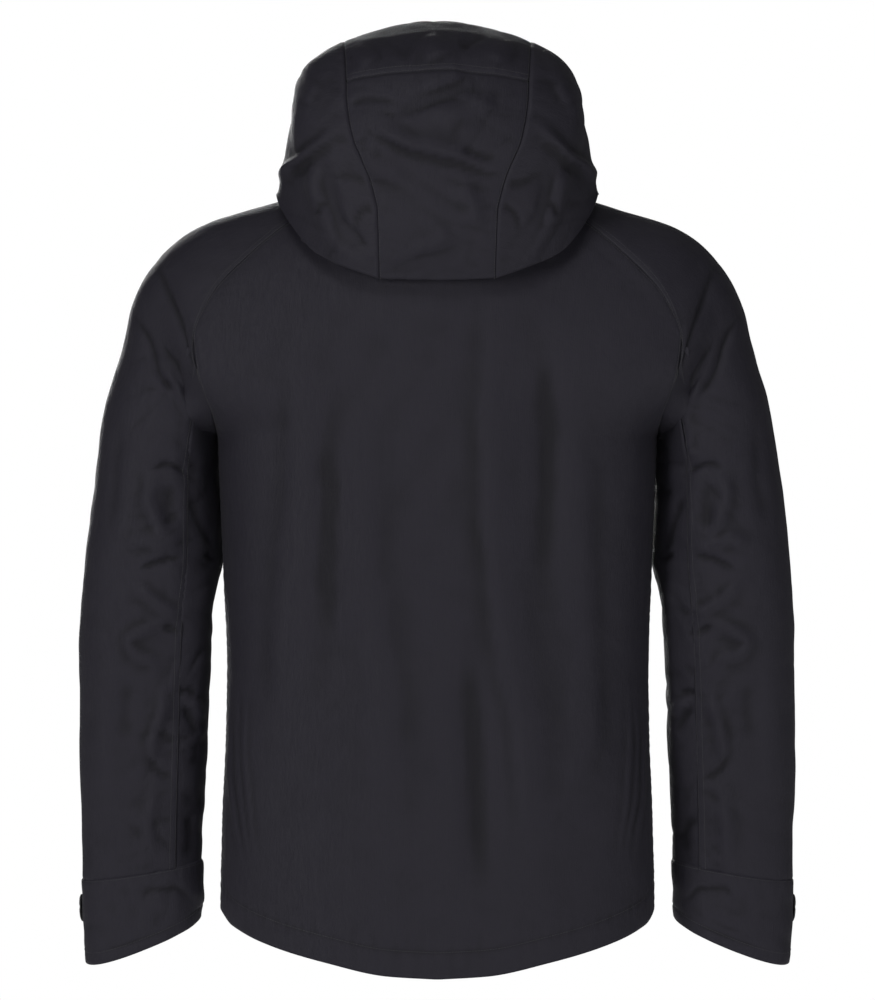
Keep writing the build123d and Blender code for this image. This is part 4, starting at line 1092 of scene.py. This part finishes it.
def coil_tree(material):
    """One zip coil: a helix flattened on the tape's side, given its length, pitch, radius and wire."""
    tree = bpy.data.node_groups.new("zip coil", "GeometryNodeTree")
    tree.interface.new_socket("Geometry", in_out="INPUT", socket_type="NodeSocketGeometry")
    tree.interface.new_socket("Geometry", in_out="OUTPUT", socket_type="NodeSocketGeometry")
    for label, value in (("Length", 0.7), ("Pitch", 0.0016), ("Radius", 0.0012), ("Wire", 0.00034)):
        tree.interface.new_socket(label, in_out="INPUT",
                                  socket_type="NodeSocketFloat").default_value = value
    add, join = tree.nodes.new, tree.links.new
    given, made = add("NodeGroupInput"), add("NodeGroupOutput")
    turns = add("ShaderNodeMath")
    turns.operation = "DIVIDE"
    join(given.outputs["Length"], turns.inputs[0])
    join(given.outputs["Pitch"], turns.inputs[1])
    helix = add("GeometryNodeCurveSpiral")
    helix.inputs["Resolution"].default_value = 9
    join(turns.outputs[0], helix.inputs["Rotations"])
    join(given.outputs["Length"], helix.inputs["Height"])
    for label in ("Start Radius", "End Radius"):
        join(given.outputs["Radius"], helix.inputs[label])
    section = add("GeometryNodeCurvePrimitiveCircle")
    section.inputs["Resolution"].default_value = 5
    join(given.outputs["Wire"], section.inputs["Radius"])
    sweep = add("GeometryNodeCurveToMesh")
    sweep.inputs["Fill Caps"].default_value = True
    join(helix.outputs["Curve"], sweep.inputs["Curve"])
    join(section.outputs["Curve"], sweep.inputs["Profile Curve"])
    realise, paint_it = add("GeometryNodeRealizeInstances"), add("GeometryNodeSetMaterial")
    paint_it.inputs["Material"].default_value = material
    join(sweep.outputs["Mesh"], realise.inputs["Geometry"])
    join(realise.outputs["Geometry"], paint_it.inputs["Geometry"])
    join(paint_it.outputs["Geometry"], made.inputs["Geometry"])
    return tree


def run_tree(name, source, tree, inputs):
    """Runs a node tree on an object and keeps its result as a plain mesh of its own."""
    bpy.context.scene.collection.objects.link(source)
    modifier = source.modifiers.new("make", "NODES")
    modifier.node_group = tree
    sockets = {item.name: item.identifier for item in tree.interface.items_tree if item.in_out == "INPUT"}
    for label, value in inputs.items():
        modifier[sockets[label]] = value
    graph = bpy.context.evaluated_depsgraph_get()
    mesh = bpy.data.meshes.new_from_object(source.evaluated_get(graph), depsgraph=graph)
    mesh.name = name
    source.modifiers.remove(modifier)
    bpy.data.objects.remove(source)
    piece = bpy.data.objects.new(name, mesh)
    bpy.context.scene.collection.objects.link(piece)
    return piece


class Zip:
    """A straight zip. Local z runs up it, local x across it and local -y outwards."""

    def __init__(self, start, end, outward):
        self.start = Vector(start)
        self.along = (Vector(end) - self.start).normalized()
        self.length = (Vector(end) - self.start).length
        self.sideways = (-Vector(outward)).cross(self.along).normalized()
        inward = self.along.cross(self.sideways)
        self.place = Matrix.Translation(self.start) @ Matrix((
            (self.sideways[0], inward[0], self.along[0], 0), (self.sideways[1], inward[1], self.along[1],
                                                              0),
            (self.sideways[2], inward[2], self.along[2], 0), (0, 0, 0, 1)))

    def points(self, x, y, z):
        flat = np.stack([x, y, z, np.ones_like(x)], -1)
        return (flat @ np.array(self.place).T)[..., :3]

    def coil(self, name, tree, x, y, low, high, radius, pitch, thread):
        empty = bpy.data.objects.new(name + "_source", bpy.data.meshes.new(name))
        made = run_tree(name, empty, tree,
                        {"Length": high - low, "Pitch": pitch, "Radius": radius - thread, "Wire": thread})
        made.data.transform(self.place @ Matrix.Translation((x, y, low)) @ Matrix.Diagonal((1, 0.92, 1, 1)))
        made.data.shade_smooth()
        return made

    def strip(self, name, x, y, z, thickness, bow=0.0):
        """A flat strip across and along the zip, with a corded edge beside the coil."""
        u, v = grid(max(8, int((x[1] - x[0]) / 0.0008)), max(40, int((z[1] - z[0]) / 0.004)))
        px = mix(x[0], x[1], u)
        py = np.full_like(px, y[0]) + bow * np.sin(math.pi * u)
        base = self.points(px, py, mix(z[0], z[1], v))
        edge = np.minimum(u, 1 - u) * (x[1] - x[0])
        lift = ripple(base, 37, 0.09, 0.00012) + 0.00012 * np.exp(-(edge / 0.0006) ** 2)
        heart = np.array(self.points(np.array(0.0), np.array(0.3), np.array(self.length / 2)))
        return cloth(name, base, lift, heart, thickness)


coil_nodes = coil_tree(nylon)
zipper = Zip((0, zip_y(0.070), 0.070), (0, zip_y(CHIN), CHIN), (0, -1, 0))
for name, sign in (("left", 1), ("right", -1)):
    coil = zipper.coil(f"main_coil_{name}", coil_nodes, sign * 0.0027, 0.0012, 0.014, 0.712, 0.0015, 0.0017,
                       0.00042)
    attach(coil, "torso")
    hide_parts(f"main_zip_coil_{name}")
    near, far = sorted((sign * 0.0045, sign * 0.0135))
    band = zipper.strip(f"main_tape_{name}", (near, far), (0.0022,), (0.006, 0.716), 0.0006)
    dress(band, woven, "torso", f"main_zip_tape_{name}", slot="zip_tape")
flap = zipper.strip("storm_flap_cloth", (-0.019, 0.021), (0.0074,), (0.004, 0.654), 0.0008)
dress(flap, shell, "torso", "storm_flap", slot="lining")
guard = zipper.strip("chin_guard_cloth", (-0.015, 0.017), (0.0073,), (0.656, 0.718), 0.0012)
dress(guard, backer, "torso", "chin_guard", slot="lining")
for node in ("main_zip_box", "main_zip_pin", "main_zip_top_stops"):
    repaint(node, nylon)
repaint("main_zip_slider", metal)

puller, wire, shader = start_material("moulded pull", Coat_Weight=0.05)
place = wire.node("ShaderNodeTexCoord", output="Object")
dimple = wire.node("ShaderNodeTexVoronoi", Vector=place, Scale=1300.0)
handled = wire.node("ShaderNodeTexNoise", Vector=place, Scale=140.0, Detail=3.0)
finish_material(wire, shader, handled.shade((0.012, 0.012, 0.013), (0.024, 0.024, 0.026)),
                handled * 0.3 + 0.3, dimple, distance=0.00006)
repaint("main_zip_pull", puller)


# ---- Hand pocket zips ----
# A finer coil zip closes each hand pocket, let into the seam between the front and side panels.
for name, side in (("left", 1), ("right", -1)):
    ends = [body_point(np.array(side * 0.60), np.array(z), True) for z in (0.152, 0.328)]
    ahead, behind = (body_point(np.array(side * share), np.array(0.240), True) for share in (0.61, 0.59))
    outward = np.cross(ahead - behind, ends[1] - ends[0])
    outward = outward / np.linalg.norm(outward) * (-1 if outward[1] > 0 else 1)
    hand = Zip(ends[0], ends[1], outward)
    for count, sign in enumerate((1, -1)):
        coil = hand.coil(f"pocket_coil_{name}_{count}", coil_nodes, sign * 0.0024, 0.0024, 0.004,
                         hand.length - 0.004, 0.0012, 0.0014, 0.00034)
        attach(coil, "torso")
        near, far = sorted((sign * 0.0039, sign * 0.0109))
        band = hand.strip(f"pocket_tape_{name}_{count}", (near, far), (0.0039,), (0.0, hand.length), 0.0005)
        dress(band, woven, "torso", slot="zip_tape")
        if count == 0:
            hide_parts(f"pocket_zip_coil_{name}")
            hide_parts(f"pocket_zip_tape_{name}")
    repaint(f"pocket_slider_{name}", metal)
    repaint(f"pocket_pull_{name}", puller)


# ---- Topstitching ----
# Two rows of lockstitch in matching thread run beside the seams of the shoulders, hood and sleeves, and one
# row holds the turned hem. Each stitch is a short bead of thread that sinks at both ends.
thread, wire, shader = start_material("sewing thread", Roughness=0.6, Sheen_Weight=0.1)
place = wire.node("ShaderNodeTexCoord", output="Object")
ply = wire.node("ShaderNodeTexNoise", Vector=place, Scale=2500.0, Detail=2.0)
finish_material(wire, shader, ply.shade((0.016, 0.016, 0.018), (0.034, 0.034, 0.038)), None, ply,
                distance=0.00005)


def stitch_tree(material):
    """Stitches along the source's curves, given their pitch, length and thickness."""
    tree = bpy.data.node_groups.new("stitches", "GeometryNodeTree")
    tree.interface.new_socket("Geometry", in_out="INPUT", socket_type="NodeSocketGeometry")
    tree.interface.new_socket("Geometry", in_out="OUTPUT", socket_type="NodeSocketGeometry")
    for label, value in (("Pitch", 0.0029), ("Stitch", 0.0022), ("Thickness", 0.0005)):
        tree.interface.new_socket(label, in_out="INPUT",
                                  socket_type="NodeSocketFloat").default_value = value
    add, join = tree.nodes.new, tree.links.new
    given, made = add("NodeGroupInput"), add("NodeGroupOutput")
    spaced = add("GeometryNodeResampleCurve")
    spaced.mode = "LENGTH"
    join(given.outputs["Geometry"], spaced.inputs["Curve"])
    join(given.outputs["Pitch"], spaced.inputs["Length"])
    bead = add("GeometryNodeMeshUVSphere")
    bead.inputs["Segments"].default_value, bead.inputs["Rings"].default_value = 6, 4
    bead.inputs["Radius"].default_value = 0.5
    size = add("ShaderNodeCombineXYZ")
    join(given.outputs["Thickness"], size.inputs["X"])
    join(given.outputs["Thickness"], size.inputs["Y"])
    join(given.outputs["Stitch"], size.inputs["Z"])
    tangent, turn = add("GeometryNodeInputTangent"), add("FunctionNodeAlignRotationToVector")
    turn.axis = "Z"
    join(tangent.outputs["Tangent"], turn.inputs["Vector"])
    lay = add("GeometryNodeInstanceOnPoints")
    join(spaced.outputs["Curve"], lay.inputs["Points"])
    join(bead.outputs["Mesh"], lay.inputs["Instance"])
    join(turn.outputs["Rotation"], lay.inputs["Rotation"])
    join(size.outputs["Vector"], lay.inputs["Scale"])
    realise, paint_it = add("GeometryNodeRealizeInstances"), add("GeometryNodeSetMaterial")
    paint_it.inputs["Material"].default_value = material
    join(lay.outputs["Instances"], realise.inputs["Geometry"])
    join(realise.outputs["Geometry"], paint_it.inputs["Geometry"])
    join(paint_it.outputs["Geometry"], made.inputs["Geometry"])
    return tree


def row_beside(skin, edge, distance):
    """A line on a skin at a steady distance from one of its edges: first, last, low or high."""
    outer, normal, u, v = skins[skin]
    face = outer + normal * 0.00008
    if edge in ("first", "last"):
        run = u[:outer.shape[0]] - u[0]
        wanted = np.full(outer.shape[1], distance) if edge == "first" else run[-1] - distance
        return np.stack([[np.interp(wanted[j], run[:, j],
                                    face[:, j, k]) for k in range(3)] for j in range(outer.shape[1])])
    run = v[:outer.shape[0]]
    wanted = np.full(outer.shape[0], distance) if edge == "low" else run[:, -1] - distance
    return np.stack([[np.interp(wanted[i], run[i],
                                face[i, :, k]) for k in range(3)] for i in range(outer.shape[0])])


def stitches(name, rows, tree):
    """Rows of stitches as one mesh piece."""
    line = bpy.data.curves.new(name, "CURVE")
    line.dimensions = "3D"
    for row in rows:
        spline = line.splines.new("POLY")
        spline.points.add(len(row) - 1)
        spline.points.foreach_set("co", np.concatenate([row, np.ones((len(row), 1))], 1).ravel())
    return run_tree(name, bpy.data.objects.new(name + "_source", line), tree,
                    {"Pitch": 0.0029, "Stitch": 0.0023, "Thickness": 0.00052})


stitch_nodes = stitch_tree(thread)
body_rows = [row_beside("back_panel_cloth", "low", 0.0265), row_beside("back_panel_cloth", "first", 0.0016),
             row_beside("back_panel_cloth", "last", 0.0016), row_beside("collar_cloth", "high", 0.004)]
hood_rows = [row_beside("hood_crown_cloth", "low", d) for d in (0.0016, 0.0070)]
hood_rows += [row_beside(f"hood_{part}_cloth", edge, 0.0016) for part in ("centre",
                                                                          "crown") for edge in ("first",
                                                                                                "last")]
hood_rows += [row_beside("hood_crown_cloth", "high", 0.012)]
for name in ("left", "right"):
    for part in ("front_panel", "side_panel"):
        body_rows.append(row_beside(f"{part}_cloth_{name}", "low", 0.0265))
    body_rows.append(row_beside(f"front_panel_cloth_{name}", "last", 0.0016))
    body_rows.append(row_beside(f"front_panel_cloth_{name}", "first", 0.0030))
    hood_rows.append(row_beside(f"hood_side_cloth_{name}", "last", 0.012))
for name, body, rows in (("body_stitches", "torso", body_rows), ("hood_stitches", "hood", hood_rows)):
    made = stitches(name, rows, stitch_nodes)
    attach(made, body)
for name, side in (("left", 1), ("right", -1)):
    rows = [row_beside(f"raglan_sleeve_{name}", edge, d) for edge in ("first", "last") for d in (0.0016,
                                                                                                 0.0072)]
    made = stitches(f"sleeve_stitches_{name}", rows, stitch_nodes)
    swing(made)
    rows = [row_beside(f"cuff_cloth_{name}", "high", 0.012), row_beside(f"cuff_cloth_{name}", "low", 0.003)]
    made = stitches(f"cuff_stitches_{name}", rows, stitch_nodes)
    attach(made, f"sleeve_{name}")
